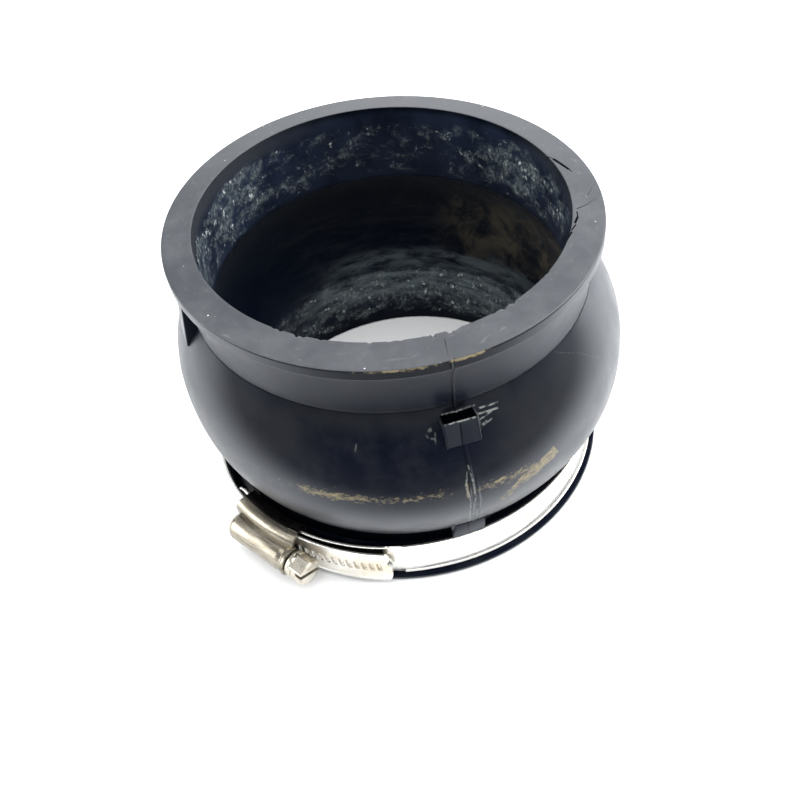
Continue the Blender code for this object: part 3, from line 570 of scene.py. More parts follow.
def outside_rubber():
    """Satin black skin with road dirt dried on where water ran off the belly and under the rim, with
    painted light and shade: sheen at the sides, highlights on the upper lug's top edges, lighter lug faces
    and shade in the clamp groove.
    """
    material, shader = surface("outside rubber")
    place, turn, radius, z, sheet = around_axis(shader)
    mottle = clouds(sheet, 120.0, 5.0)
    speckle = clouds(stretched(sheet, (1.0, 1.0, 1.6)), 620.0, 6.0, 0.7)
    broad = clouds(sheet, 90.0, 3.0, 0.5, 0.6)
    mud = patches(turn, z, [
        (239, 278, 39.9, 43.0, 5, 1.8, 1.0), (282, 299, 38.4, 41.8, 4, 2.2, 0.85),
        (212, 240, 38.0, 43.0, 6, 3.0, 0.5), (205, 218, 42.0, 52.0, 5, 4.0, 0.4),
        (258, 281, 79.4, 80.7, 8, 0.6, 1.0), (280, 291, 79.4, 81.0, 3, 0.6, 1.15),
        (204, 236, 79.0, 80.5, 8, 1.0, 0.6), (280.6, 281.5, 37.5, 44.0, 0.4, 1.5, 1.0),
        (300, 330, 22.0, 30.0, 8, 3.0, 0.3),
    ])
    runs = strokes(turn, z, [
        ((289.3, 31.6), (294.6, 36.3), 2.6, 1.1), ((294.0, 36.0), (304.8, 40.4), 4.6, 0.92),
    ])
    dirt_share = times(highest(mud, runs), ramp(broad, 0.3, 0.6, 0.65, 1.0))
    dirt = ramp(plus(speckle, times(dirt_share, 0.36)), 0.66, 0.9)
    dust = times(ramp(speckle, 0.62, 0.8), 0.12)
    # Greyer patches: the wide ones at the left and right of the upper belly and neck are painted sheen, the
    # side lights' reflection put into the colour; the band round the rim's side is greyed rubber.
    dry = patches(turn, z, [
        (288, 342, 45.0, 63.0, 9, 6.0, 1.0), (196, 246, 49.0, 63.0, 10, 5.0, 0.9),
        (236, 300, 59.5, 64.0, 8, 2.5, 0.9), (0, 360, 76.6, 81.0, 1, 0.6, 1.0),
    ])
    dry = times(dry, ramp(mottle, 0.25, 0.6, 0.75, 1.0))
    # Scratches, and two painted highlights: the lines at 60.95 and 61.45 mm are light caught on the upper
    # lug's rounded top edges.
    scuffs_and_highlights = strokes(turn, z, [
        ((287.8, 60.7), (292.8, 60.4), 0.36, 0.75), ((287.1, 59.7), (292.3, 59.4), 0.4, 0.65),
        ((287.1, 58.5), (290.7, 59.4), 0.36, 0.6), ((287.5, 57.2), (290.1, 57.9), 0.34, 0.5),
        ((286.2, 57.1), (288.8, 57.9), 0.34, 0.45), ((286.7, 60.4), (286.9, 56.4), 0.6, 0.3),
        ((275.2, 59.2), (274.3, 58.7), 0.7, 0.3), ((273.6, 58.3), (274.1, 57.5), 0.5, 0.25),
        ((274.6, 57.2), (275.7, 56.9), 0.5, 0.3), ((275.9, 58.4), (275.5, 55.9), 0.4, 0.2),
        ((256.6, 57.0), (256.3, 55.2), 0.45, 0.2), ((278.2, 60.95), (285.8, 60.95), 0.36, 0.85),
        ((278.3, 61.45), (287.0, 61.5), 0.3, 0.55), ((281.6, 47.4), (280.8, 42.9), 0.4, 0.6),
        ((280.8, 42.9), (281.5, 37.6), 0.55, 0.6), ((281.5, 37.6), (281.5, 28.8), 0.4, 0.55),
        ((281.5, 28.8), (281.8, 21.0), 0.34, 0.5), ((281.9, 49.0), (282.4, 44.5), 0.34, 0.45),
        ((282.4, 44.5), (282.8, 36.6), 0.45, 0.65), ((282.8, 36.6), (281.9, 29.5), 0.36, 0.45),
        ((313.4, 62.4), (320.1, 58.2), 0.26, 0.07), ((320.1, 58.2), (325.9, 52.2), 0.26, 0.06),
    ])
    scuffs_and_highlights = times(scuffs_and_highlights, ramp(clouds(sheet, 700.0, 3.0), 0.38, 0.58, 0.1, 1.0))
    splits = strokes(turn, z, [
        ((281.0, 79.8), (281.7, 68.3), 0.36, 1.0), ((281.7, 68.5), (281.8, 62.1), 0.36, 1.0),
        ((281.9, 60.4), (281.5, 54.0), 0.3, 1.0), ((281.5, 54.2), (281.6, 47.4), 0.3, 0.8),
        ((281.6, 47.6), (281.7, 43.5), 0.4, 0.9), ((281.7, 43.6), (282.1, 36.5), 0.9, 1.0),
        ((282.1, 36.8), (281.7, 29.6), 0.5, 1.0), ((281.9, 20.6), (281.9, 14.2), 0.4, 1.0),
        # The last, six millimetre wide mark darkens the neck in the corner just above the upper lug's top;
        # it is not a split.
        ((325.9, 52.2), (330.6, 45.1), 0.3, 0.5), ((281.8, 62.6), (281.9, 61.7), 6.0, 0.9),
    ])
    # Painted light: the lugs' faces get a lighter grey where they stand out into the light, the lower lug
    # lifted out of the groove's shade.
    lit_lug_faces = patches(turn, z, [
        (278.1, 281.7, 54.6, 60.8, 0.3, 0.3, 0.5), (281.9, 285.9, 54.6, 60.8, 0.3, 0.3, 0.25),
        (277.6, 286.5, 13.9, 20.6, 0.2, 0.2, 0.7),
    ])
    lug_top = patches(turn, z, [(277.8, 286.2, 61.1, 61.3, 0.2, 0.04, 1.0)])
    lug_top = times(lug_top, ramp(radius, 57.3 * MM, 57.5 * MM, 1.0, 0.0))
    foot_side = times(between(z, 0.5 * MM, 1.1 * MM, 0.15 * MM), ramp(radius, 55.9 * MM, 56.1 * MM))
    # Painted shade: the clamp groove under the belly's overhang is darkened to near black and loses its
    # gloss, apart from the lower lug.
    on_lug = times(between(turn, 277.4 / 360, 286.7 / 360, 0.05 / 360), ramp(radius, 54.0 * MM, 54.4 * MM))
    under = times(between(z, 13.8 * MM, 20.1 * MM, 0.3 * MM), minus(1.0, on_lug))
    tone = layered(NAVY_BLACK, [
        (ramp(mottle, 0.42, 0.7), WORN_BLACK),
        (highest(times(dirt, 0.7), dust), TAN_DIRT),
        (times(dry, minus(1.0, dirt)), DRY_AND_SHEEN_BLACK),
        (scuffs_and_highlights, SCUFF_AND_HIGHLIGHT_GREY),
        (times(splits, 0.9), SPLIT_BLACK),
        (times(lit_lug_faces, minus(1.0, splits)), LIT_LUG_GREY),
        (lug_top, LUG_TOP_BLACK),
        (foot_side, FOOT_GREY),
        (under, SHADE_BLACK),
    ])
    shader.inputs["Specular Tint"].default_value = GLOSS_TINT
    matt = patches(turn, z, [
        (232, 306, 62.0, 77.0, 14, 2.0, 0.55), (262, 300, 14.0, 21.0, 3, 1.0, 0.7),
        (0, 360, -1.0, 1.9, 1, 0.2, 0.45),
    ])
    gloss = facing_away(shader, 0.3, 0.68, 0.04, 0.75)
    gloss = times(gloss, minus(1.0, highest(matt, lug_top)), minus(1.0, under))
    linked(shader.inputs["Specular IOR Level"], gloss)
    roughness = plus(ramp(mottle, 0.3, 0.75, 0.3, 0.42), times(dirt, 0.35))
    height = plus(times(speckle, 0.5), times(dirt, 0.6))
    finished(shader, tone, roughness, height, 0.12 * MM, 0.35)
    return material


DRY_RIM = (0.036, 0.04, 0.048)
GREYED_RIM = (0.066, 0.071, 0.08)
RUBBED_GREY = (0.2, 0.2, 0.2)
PALE_SPECK = (0.75, 0.77, 0.76)


def rim_rubber():
    """The rim's top face, dry and greyed, with pale specks and rubbed lines."""
    material, shader = surface("greyed rim")
    place, turn, radius, z, sheet = around_axis(shader)
    mottle = clouds(place, 70.0, 6.0, 0.65)
    rubbed = clouds(stretched(sheet, (0.35, 1.0, 1.0)), 900.0, 3.0, 0.6)
    speck = ramp(grains(place, 260.0), 0.055, 0.035)
    tone = layered(DRY_RIM, [
        (ramp(mottle, 0.35, 0.7), GREYED_RIM),
        (ramp(rubbed, 0.6, 0.8, 0.0, 0.35), RUBBED_GREY),
        (times(speck, ramp(mottle, 0.46, 0.52)), PALE_SPECK),
    ])
    roughness = ramp(mottle, 0.3, 0.7, 0.5, 0.62)
    finished(shader, tone, roughness, plus(rubbed, mottle), 0.1 * MM, 0.3)
    return material


BORE_BLACK = (0.0016, 0.0034, 0.0075)
BORE_NAVY = (0.005, 0.0075, 0.013)
DIM_GREY = (0.017, 0.0185, 0.022)
SMEARED_GREY = (0.018, 0.02, 0.025)
CHAMBER_SHADE_BLACK = (0.0022, 0.0045, 0.011)
STAIN_BROWN = (0.105, 0.09, 0.064)
COLLAR_NAVY = (0.013, 0.0185, 0.036)
CLEAN_GREY = (0.026, 0.029, 0.034)
WIPED_SALT = (0.12, 0.148, 0.16)
SALT_FILM = (0.2, 0.235, 0.235)
SALT = (0.56, 0.60, 0.60)


def bore_rubber():
    """The bore, where sea salt has dried in clumps and the right side of the chamber is stained brown, and
    the rest of the chamber is darkened with painted shade.
    """
    material, shader = surface("salted bore")
    place, turn, radius, z, sheet = around_axis(shader)
    mottle = clouds(place, 110.0, 5.0)
    haze = clouds(stretched(sheet, (0.6, 1.0, 1.0)), 240.0, 6.0, 0.7, 0.5)
    smear = clouds(stretched(sheet, (0.22, 1.0, 1.0)), 420.0, 5.0, 0.65, 0.3)
    fleck = clouds(stretched(sheet, (1.0, 1.0, 0.8)), 820.0, 3.0, 0.7)
    spot = clouds(sheet, 430.0, 2.0, 0.5)
    share = patches(turn, z, [
        (0, 360, 59.5, 77.0, 1, 2.0, 0.45), (112, 204, 59.5, 77.0, 34, 2.4, 0.85),
        (8, 56, 61.0, 77.5, 26, 3.0, 0.95), (200, 235, 60.0, 76.0, 8, 2.0, 0.7),
        (0, 360, 3.0, 22.0, 1, 2.0, 0.8), (20, 120, 8.0, 20.0, 8, 3.0, 1.0),
        (346, 360, 62.0, 77.0, 4, 2.0, 0.5), (0, 12, 61.0, 77.0, 4, 2.0, 0.7),
    ])
    crust = plus(haze, times(share, 0.22))
    film = times(ramp(crust, 0.58, 0.86), ramp(fleck, 0.36, 0.62, 0.15, 1.0), ramp(share, 0.1, 0.5))
    bright = plus(plus(times(fleck, 0.6), times(spot, 0.4)), times(crust, 0.35))
    salt = times(ramp(bright, 0.83, 0.93), ramp(share, 0.2, 0.6))
    stain = patches(turn, z, [
        (14, 66, 28.0, 48.0, 8, 7.0, 0.75), (338, 360, 26.0, 46.0, 8, 7.0, 0.9),
        (0, 14, 26.0, 46.0, 6, 7.0, 0.9),
    ])
    stain = times(stain, ramp(clouds(place, 120.0, 6.0, 0.65, 0.4), 0.38, 0.64))
    dim = patches(turn, z, [(16, 128, 25.0, 44.0, 16, 7.0, 0.8)])
    # Painted shade: the chamber inside the belly, under the top collar's overhang, is darkened.
    chamber = patches(turn, z, [(60, 335, 24.0, 57.5, 16, 2.0, 0.7)])
    collars = patches(turn, z, [(0, 360, 58.8, 80.0, 1, 1.0, 0.9), (0, 360, 6.0, 22.3, 1, 2.0, 0.6)])
    clean = patches(turn, z, [
        (118, 206, 77.0, 84.0, 22, 2.0, 0.9), (0, 26, 77.5, 84.0, 14, 2.0, 0.6),
        (340, 360, 77.0, 84.0, 6, 2.0, 0.6),
    ])
    wiped = patches(turn, z, [
        (14, 124, 11.0, 22.0, 12, 2.5, 1.0), (30, 110, 22.5, 27.0, 12, 1.6, 0.45),
        (14, 60, 5.0, 14.0, 10, 3.0, 0.6),
    ])
    tone = layered(BORE_BLACK, [
        (ramp(mottle, 0.4, 0.7), BORE_NAVY),
        (times(dim, ramp(smear, 0.3, 0.7, 0.2, 1.0)), DIM_GREY),
        (chamber, CHAMBER_SHADE_BLACK),
        (times(dim, ramp(smear, 0.4, 0.75, 0.0, 0.6)), SMEARED_GREY),
        (times(stain, 0.85), STAIN_BROWN),
        (times(collars, ramp(mottle, 0.25, 0.65, 0.3, 1.0)), COLLAR_NAVY),
        (clean, CLEAN_GREY),
        (times(wiped, ramp(smear, 0.34, 0.66, 0.0, 1.0)), WIPED_SALT),
        (times(film, 0.72), SALT_FILM),
        (salt, SALT),
    ])
    shader.inputs["Specular Tint"].default_value = GLOSS_TINT
    linked(shader.inputs["Specular IOR Level"], facing_away(shader, 0.4, 0.9, 0.04, 0.25))
    roughness = plus(ramp(mottle, 0.3, 0.7, 0.36, 0.5), times(salt, 0.4))
    height = plus(times(salt, 0.7), times(film, 0.6))
    finished(shader, tone, roughness, height, 0.3 * MM, 0.5)
    return material


def cut_line(name, start, end, width, depth):
    """A wedge that opens a tear in the rim's face, between two (degrees, radius in mm) points."""
    ends = []
    for degrees, radius in (start, end):
        angle = math.radians(degrees)
        ends.append(settled(radius * MM * math.cos(angle), radius * MM * math.sin(angle), RIM_EDGE))
    along = (ends[1] - ends[0]).normalized()
    side = along.cross(Vector((0, 0, 1))) * width / 2
    top = Vector((0, 0, 1.6 * MM))
    low = Vector((0, 0, -depth))
    wedge = bmesh.new()
    rings = []
    for point in ends:
        rings.append([wedge.verts.new(point + offset) for offset in (top + side * 4, top - side * 4, low)])
    bridge(wedge, rings)
    wedge.faces.new(reversed(rings[0]))
    wedge.faces.new(rings[1])
    bmesh.ops.recalc_face_normals(wedge, faces=wedge.faces[:])
    return add_piece(name, wedge), "DIFFERENCE"


def make_tears():
    """Cuts for the rim's tears, each (start, end, width, depth)."""
    tears = [
        ((15.6, 46.6), (12.6, 48.0), 0.1, 0.2), ((13.0, 47.8), (6.6, 49.6), 0.32, 0.5),
        ((6.8, 49.5), (5.2, 50.0), 0.12, 0.2), ((347.4, 48.0), (349.8, 50.6), 0.1, 0.12),
        ((349.6, 50.4), (355.4, 55.4), 0.08, 0.06),
        ((353.6, 51.0), (0.8, 55.0), 0.08, 0.05), ((346.2, 48.0), (343.6, 48.3), 0.12, 0.3),
        ((343.8, 48.2), (340.8, 47.7), 0.2, 0.4), ((340.4, 48.0), (337.4, 47.2), 0.12, 0.4),
        ((337.0, 47.4), (333.2, 46.9), 0.16, 0.4), ((333.4, 47.0), (328.0, 46.6), 0.1, 0.3),
        ((282.0, 49.2), (280.8, 56.0), 0.08, 0.05),
    ]
    return [cut_line(f"tear_{i}", a, b, w * MM, d * MM) for i, (a, b, w, d) in enumerate(tears)]


def choose_finish(mesh):
    """Gives each face the outside, rim or bore finish by where it lies."""
    outside, rim, bore = range(3)
    for face in mesh.polygons:
        x, y, z = face.center
        radius = math.hypot(x, y)
        outward = (face.normal.x * x + face.normal.y * y) / max(radius, 1e-6)
        if z > RIM_EDGE - 0.35 * MM and face.normal.z > 0.5:
            face.material_index = rim
        elif outward < -0.35 and radius < FOOT_RADIUS - 0.2 * MM:
            face.material_index = bore
        else:
            face.material_index = outside


sleeve = add_piece("moulded_sleeve", closed_turning(sleeve_outline(), seam_stations(), soft_surface))
carve(sleeve, make_lugs() + make_tears(), SHARP_EDGE)
for finish in (outside_rubber(), rim_rubber(), bore_rubber()):
    sleeve.data.materials.append(finish)
choose_finish(sleeve.data)
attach(sleeve, "joint")
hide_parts("rubber_sleeve")


# Clamp band. One strip of bright stainless steel, 12 mm wide, rolled with turned edges and bent once round
# the groove. Its start lies inside the housing and its slotted tail passes over it and stays free.
STRIP_LOW = 1.9 * MM
STRIP_HIGH = 13.9 * MM
STRIP_THICK = 0.8 * MM
STRIP_SEAT = 53.9 * MM
STRIP_INNER = 55.2 * MM
STRIP_OUTER = 56.9 * MM
CLAMP_DEGREES = 224.7
SADDLE_BEHIND = 11.609
TONGUE = 4.279
TONGUE_BEND = 1.88
STRIP_EASE = 44.646
STRIP_START = CLAMP_DEGREES - SADDLE_BEHIND - TONGUE
STRIP_OFF_PLATE = CLAMP_DEGREES + 8.8
STRIP_ON_SEAT = STRIP_OFF_PLATE + STRIP_EASE
STRIP_BACK = 360 + CLAMP_DEGREES - SADDLE_BEHIND
STRIP_OFF_SEAT = STRIP_BACK - STRIP_EASE
STRIP_END = 360 + STRIP_OFF_PLATE + 26.584
STEEL_EDGE = 32.0
SLOT_PITCH = 2.1 * MM
SLOT_MIDDLE = 7.9 * MM
SLOT_FROM_END = 3.4 * MM
SLOT_HALF = 1.1 * MM
SLOT_LEAN = 0.104
SLOTTED = 44 * MM


def strip_radius(degrees):
    """Radius of the inner face: on the saddle's plate, down on the rubber, then up over its own start."""
    radius = STRIP_INNER + (STRIP_SEAT - STRIP_INNER) * ease(degrees, STRIP_OFF_PLATE, STRIP_ON_SEAT)
    radius += (STRIP_OUTER - STRIP_SEAT) * ease(degrees, STRIP_OFF_SEAT, STRIP_BACK)
    return radius + 0.5 * MM * (1 - ease(degrees, STRIP_START, STRIP_START + TONGUE_BEND))


def strip_edge(z):
    """How far the rolled edge stands out at this height."""
    near = min(z - STRIP_LOW, STRIP_HIGH - z)
    return 0.4 * MM * (1 - ease(near, 0.05 * MM, 0.75 * MM))


def pressed_slot(back, z):
    """Depth of the thread slots at a distance back from the tail's end, with a soft raised border."""
    if back < 2.0 * MM or back > SLOTTED:
        return 0.0
    lean = SLOT_LEAN * (z - SLOT_MIDDLE)
    step = (back - SLOT_FROM_END - lean) / SLOT_PITCH
    across = abs(step - round(step)) * SLOT_PITCH
    along = max(abs(z - SLOT_MIDDLE) - SLOT_HALF, 0.0)
    reach = math.hypot(across, along)
    pocket = 0.5 * MM * (1 - ease(reach, 0.3 * MM, 0.56 * MM))
    border = 0.08 * MM * bump(reach, 0.7 * MM, 0.26 * MM)
    return pocket - border


def strip_rows():
    """(side, height) of the points round the strip's section: 1 on the outer face, 0 on the inner one."""
    fine = [STRIP_LOW + 0.32 * MM + 0.2 * MM * i for i in range(58)]
    corner = [(0.45, 0.0), (0.72, 0.03), (0.9, 0.12), (0.98, 0.22)]
    outer = [(side, STRIP_LOW + step * MM) for side, step in corner] + [(1.0, z) for z in fine]
    outer += [(side, STRIP_HIGH - step * MM) for side, step in reversed(corner)]
    inner = [(0.15, STRIP_HIGH)] + [(0.0, z) for z in reversed(fine[::4])] + [(0.15, STRIP_LOW)]
    return outer + inner


def strip_skin():
    """The whole strip, with its finest stations at the bent start and over the slotted tail."""
    stations = [STRIP_START + TONGUE_BEND * i / 12 for i in range(12)]
    plain = STRIP_END - 27.0
    first = STRIP_START + TONGUE_BEND
    stations += [first + (plain - first) * i / 400 for i in range(400)]
    stations += [plain + (STRIP_END - plain) * i / 260 for i in range(261)]
    rows = strip_rows()
    skin = bmesh.new()
    rings = []
    for degrees in stations:
        angle = math.radians(degrees)
        base = strip_radius(degrees)
        back = math.radians(STRIP_END - degrees) * (STRIP_OUTER + STRIP_THICK)
        wave = 0.05 * MM * noise.noise(Vector((degrees / 9, 0.4, 2.0)))
        ring = []
        for side, z in rows:
            out = base + strip_edge(z) + STRIP_THICK * side + wave
            if degrees > plain and side > 0.9:
                out -= pressed_slot(back, z)
            ring.append(skin.verts.new((out * math.cos(angle), out * math.sin(angle), z)))
        rings.append(ring)
    bridge(skin, rings)
    skin.faces.new(list(reversed(rings[0])))
    skin.faces.new(rings[-1])
    bmesh.ops.recalc_face_normals(skin, faces=skin.faces[:])
    return skin


def tail_trimmer():
    """Trims the tail to its clipped corners, its small notch and its round lobe."""
    wide = 12.0 * MM
    edge = [
        (-1.5, 1.0), (-1.1, 0.95), (-0.55, 0.87), (-0.4, 0.8), (-0.65, 0.73), (-1.15, 0.67), (-1.4, 0.6),
        (-1.25, 0.53), (-0.7, 0.46), (-0.2, 0.38), (0.0, 0.3), (-0.05, 0.2), (-0.3, 0.1), (-0.8, 0.03),
        (-1.5, 0.0),
    ]
    outline = [(-1.5 * MM, wide + MM)] + [(x * MM, share * wide) for x, share in edge]
    outline += [(-1.5 * MM, -MM), (3 * MM, -MM), (3 * MM, wide + MM)]
    cutter = prism(outline, -2 * MM, 3 * MM)
    stand_up = Matrix(((0, 0, 1, 0), (1, 0, 0, 0), (0, 1, 0, 0), (0, 0, 0, 1)))
    turn = Matrix.Rotation(math.radians(STRIP_END), 4, "Z")
    place = turn @ Matrix.Translation((STRIP_OUTER, 0, STRIP_LOW)) @ stand_up
    bmesh.ops.transform(cutter, matrix=place, verts=cutter.verts[:])
    return add_piece("tail_trimmer", cutter), "DIFFERENCE"


STREAK_STEEL = (0.86, 0.85, 0.81)
BRIGHT_STEEL = (0.95, 0.94, 0.91)
SLOT_GRIME_AND_SHADE = (0.16, 0.12, 0.075)
WARM_STAIN = (0.62, 0.55, 0.42)
LAYER_SHADE = (0.012, 0.012, 0.012)


def rolled_stainless():
    """Bright rolled strip, streaked along its length, with a faint warm stain towards the right, a brown
    ring of grime and painted shade round each slot, and painted shadow behind the tail.
    """
    material, shader = surface("rolled stainless")
    place, turn, radius, z, sheet = around_axis(shader)
    streaks = clouds(stretched(sheet, (0.06, 1.0, 1.0)), 1500.0, 3.0, 0.6)
    film = clouds(stretched(sheet, (0.5, 1.0, 1.0)), 160.0, 5.0, 0.6)
    stain = patches(turn, z, [(296, 318, 6.0, 12.5, 6, 2.0, 1.0), (232, 262, 2.0, 13.0, 4, 2.0, 1.0)])
    stain = times(stain, ramp(film, 0.35, 0.65))
    back = times(minus(STRIP_END / 360 - 1.0, turn), math.tau * (STRIP_OUTER + STRIP_THICK))
    from_middle = minus(z, SLOT_MIDDLE)
    step = minus(minus(back, SLOT_FROM_END), times(from_middle, SLOT_LEAN))
    step = plus(calc("DIVIDE", step, SLOT_PITCH), 50.0)
    across = times(calc("PINGPONG", step, 0.5), SLOT_PITCH)
    along = highest(minus(calc("ABSOLUTE", from_middle), SLOT_HALF), 0.0)
    on_tail = times(ramp(radius, 57.0 * MM, 57.1 * MM), between(back, 2.3 * MM, SLOTTED, 0.2 * MM))
    # A brown ring round each slot: grime, and painted shade standing in for the dark slot walls.
    grime = between(away(across, along), 0.46 * MM, 0.74 * MM, 0.1 * MM)
    grime = times(grime, on_tail, ramp(film, 0.3, 0.6, 0.3, 1.0))
    # Painted shadow: the band's inner layer in the gap behind the tail is darkened.
    tail_shadow = times(
        between(turn, 232.0 / 360, 258.2 / 360, 0.8 / 360), between(z, 2.6 * MM, 13.3 * MM, 0.25 * MM),
        ramp(radius, 56.3 * MM, 56.5 * MM, 1.0, 0.0),
    )
    tone = layered(STREAK_STEEL, [
        (ramp(streaks, 0.35, 0.7), BRIGHT_STEEL),
        (grime, SLOT_GRIME_AND_SHADE),
        (times(stain, 0.8), WARM_STAIN),
        (tail_shadow, LAYER_SHADE),
    ])
    shader.inputs["Metallic"].default_value = 0.85
    roughness = plus(ramp(streaks, 0.3, 0.7, 0.2, 0.3), times(stain, 0.12))
    finished(shader, tone, roughness, streaks, 0.02 * MM, 0.35)
    return material


strip = add_piece("rolled_band", strip_skin())
carve(strip, [tail_trimmer()], STEEL_EDGE)
strip.data.materials.append(rolled_stainless())
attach(strip, "joint")
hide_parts("clamp_band")


# Clamp housing. One stainless pressing: a saddle bent round both layers of the band, drawn out into a
# closed tube that carries the screw, with a domed rear end and a rolled ring at its mouth.
SCREW_OUT = 61.2 * MM
SCREW_LEVEL = SLOT_MIDDLE
SADDLE_FROM = CLAMP_DEGREES - SADDLE_BEHIND
SADDLE_SWEEP = 20.9
SADDLE_TOP = 60.7 * MM
SADDLE_LOW = 0.9 * MM
SADDLE_HIGH = 14.9 * MM
TUBE_REAR = -12.5 * MM
TUBE_FRONT = 10.2 * MM
TUBE_RADIUS = 4.2 * MM
TUBE_BORE = 3.5 * MM
TUBE_BORE_REAR = -11.8 * MM
TUBE_DOME = 3.0 * MM
PRESSED_EDGE = 0.14 * MM


def along_screw():
    """Local Z runs along the screw towards its head, and local X points away from the rubber."""
    lay_down = Matrix(((1, 0, 0, 0), (0, 0, 1, 0), (0, -1, 0, 0), (0, 0, 0, 1)))
    place = Matrix.Translation((SCREW_OUT, 0, SCREW_LEVEL))
    return Matrix.Rotation(math.radians(CLAMP_DEGREES), 4, "Z") @ place @ lay_down


def bent(outline, start, sweep, steps):
    """A solid swept part of the way round the joint's axis from a closed (radius, height) outline."""
    solid = bmesh.new()
    corners = [solid.verts.new((radius, 0, z)) for radius, z in outline]
    face = solid.faces.new(corners)
    geom, middle, turn = corners + [face], (0, 0, 0), Matrix.Rotation(math.radians(start), 3, "Z")
    bmesh.ops.rotate(solid, verts=corners, cent=middle, matrix=turn)
    bmesh.ops.spin(solid, geom=geom, cent=middle, axis=(0, 0, 1), angle=math.radians(sweep), steps=steps)
    bmesh.ops.recalc_face_normals(solid, faces=solid.faces[:])
    return solid


def lathed(outline, steps):
    """A solid turned about +Z from (radius, height) points whose two ends lie on the axis."""
    solid = bmesh.new()
    foot = solid.verts.new((0, 0, outline[0][1]))
    crown = solid.verts.new((0, 0, outline[-1][1]))
    turns = [math.tau * i / steps for i in range(steps)]
    rings = []
    for radius, z in outline[1:-1]:
        points = [(radius * math.cos(turn), radius * math.sin(turn), z) for turn in turns]
        rings.append([solid.verts.new(point) for point in points])
    for i in range(steps):
        j = (i + 1) % steps
        solid.faces.new((foot, rings[0][j], rings[0][i]))
        solid.faces.new((crown, rings[-1][i], rings[-1][j]))
        for ring, following in zip(rings, rings[1:]):
            solid.faces.new((ring[i], ring[j], following[j], following[i]))
    bmesh.ops.recalc_face_normals(solid, faces=solid.faces[:])
    return solid


def saddle_outside():
    """Outside of the saddle, its plate under the band and its rounded shoulders."""
    lip = 56.7 * MM
    outline = [(STRIP_SEAT, STRIP_LOW), (lip, STRIP_LOW), (lip, SADDLE_LOW)]
    outline += arc((SADDLE_TOP - 0.6 * MM, SADDLE_LOW + 0.6 * MM), 0.6 * MM, -90, 0, 6)
    outline += arc((SADDLE_TOP - 2.4 * MM, SADDLE_HIGH - 2.4 * MM), 2.4 * MM, 0, 90, 12)
    outline += [(54.6 * MM, SADDLE_HIGH), (54.2 * MM, SADDLE_HIGH - 0.15 * MM)]
    outline += [(STRIP_SEAT, SADDLE_HIGH - 0.6 * MM)]
    return bent(outline, SADDLE_FROM, SADDLE_SWEEP, 48)


def strip_room(ceiling, start, sweep, steps):
    """Room for both layers of the band, open below over the rubber's end lip."""
    low, high = 1.6 * MM, 14.2 * MM
    outline = [(54.6 * MM, 0.4 * MM), (56.7 * MM, 0.4 * MM), (56.7 * MM, low), (ceiling, low)]
    outline += arc((ceiling - 1.7 * MM, high - 1.7 * MM), 1.7 * MM, 0, 90, 8)
    outline += [(54.6 * MM, high)]
    return bent(outline, start, sweep, steps)


def dome(radius, rear, steps):
    """(radius, height) points of the tube's domed end, from the axis out to the wall."""
    points = [(0.0, rear)]
    for i in range(1, steps + 1):
        angle = math.pi / 2 * i / steps
        points.append((radius * math.sin(angle), rear + TUBE_DOME * (1 - math.cos(angle))))
    return points


def screw_barrel():
    """Outside of the tube: dome, plain barrel, a shallow groove and the rolled ring at the mouth."""
    profile = [
        (0.0, -6.0), (0.0, 0.0), (0.0, 6.6), (-0.05, 7.8), (-0.22, 8.3), (-0.2, 8.6), (0.02, 8.95),
        (0.2, 9.2), (0.25, 9.5), (0.22, 9.95), (0.05, 10.15), (-0.2, 10.2),
    ]
    points = dome(TUBE_RADIUS, TUBE_REAR, 12)
    points += [(TUBE_RADIUS + out * MM, along * MM) for out, along in profile]
    return lathed(points + [(0.0, TUBE_FRONT)], 72)


def screw_room():
    """Room for the worm, and a narrower hole at the mouth for the journal."""
    points = dome(TUBE_BORE, TUBE_BORE_REAR, 8)
    worm_end, mouth, hole = 9.4 * MM, 11.2 * MM, 2.6 * MM
    points += [(TUBE_BORE, worm_end), (hole, worm_end), (hole, mouth), (0.0, mouth)]
    return lathed(points, 48)


def lock_tab():
    """A square tab folded down flat on the saddle's top, at its front end."""
    low, high = 14.7 * MM, 15.0 * MM
    outline = [(54.7 * MM, low), (57.3 * MM, low), (57.3 * MM, SADDLE_HIGH)]
    outline += [(57.2 * MM, high), (54.8 * MM, high), (54.7 * MM, SADDLE_HIGH)]
    return bent(outline, SADDLE_FROM + SADDLE_SWEEP - 3.3, 3.0, 8)


DULL_STEEL = (0.19, 0.17, 0.134)
WARM_STEEL = (0.38, 0.347, 0.28)
DRIED_GRIME = (0.2, 0.175, 0.135)
EDGE_SHADE = (0.01, 0.01, 0.011)


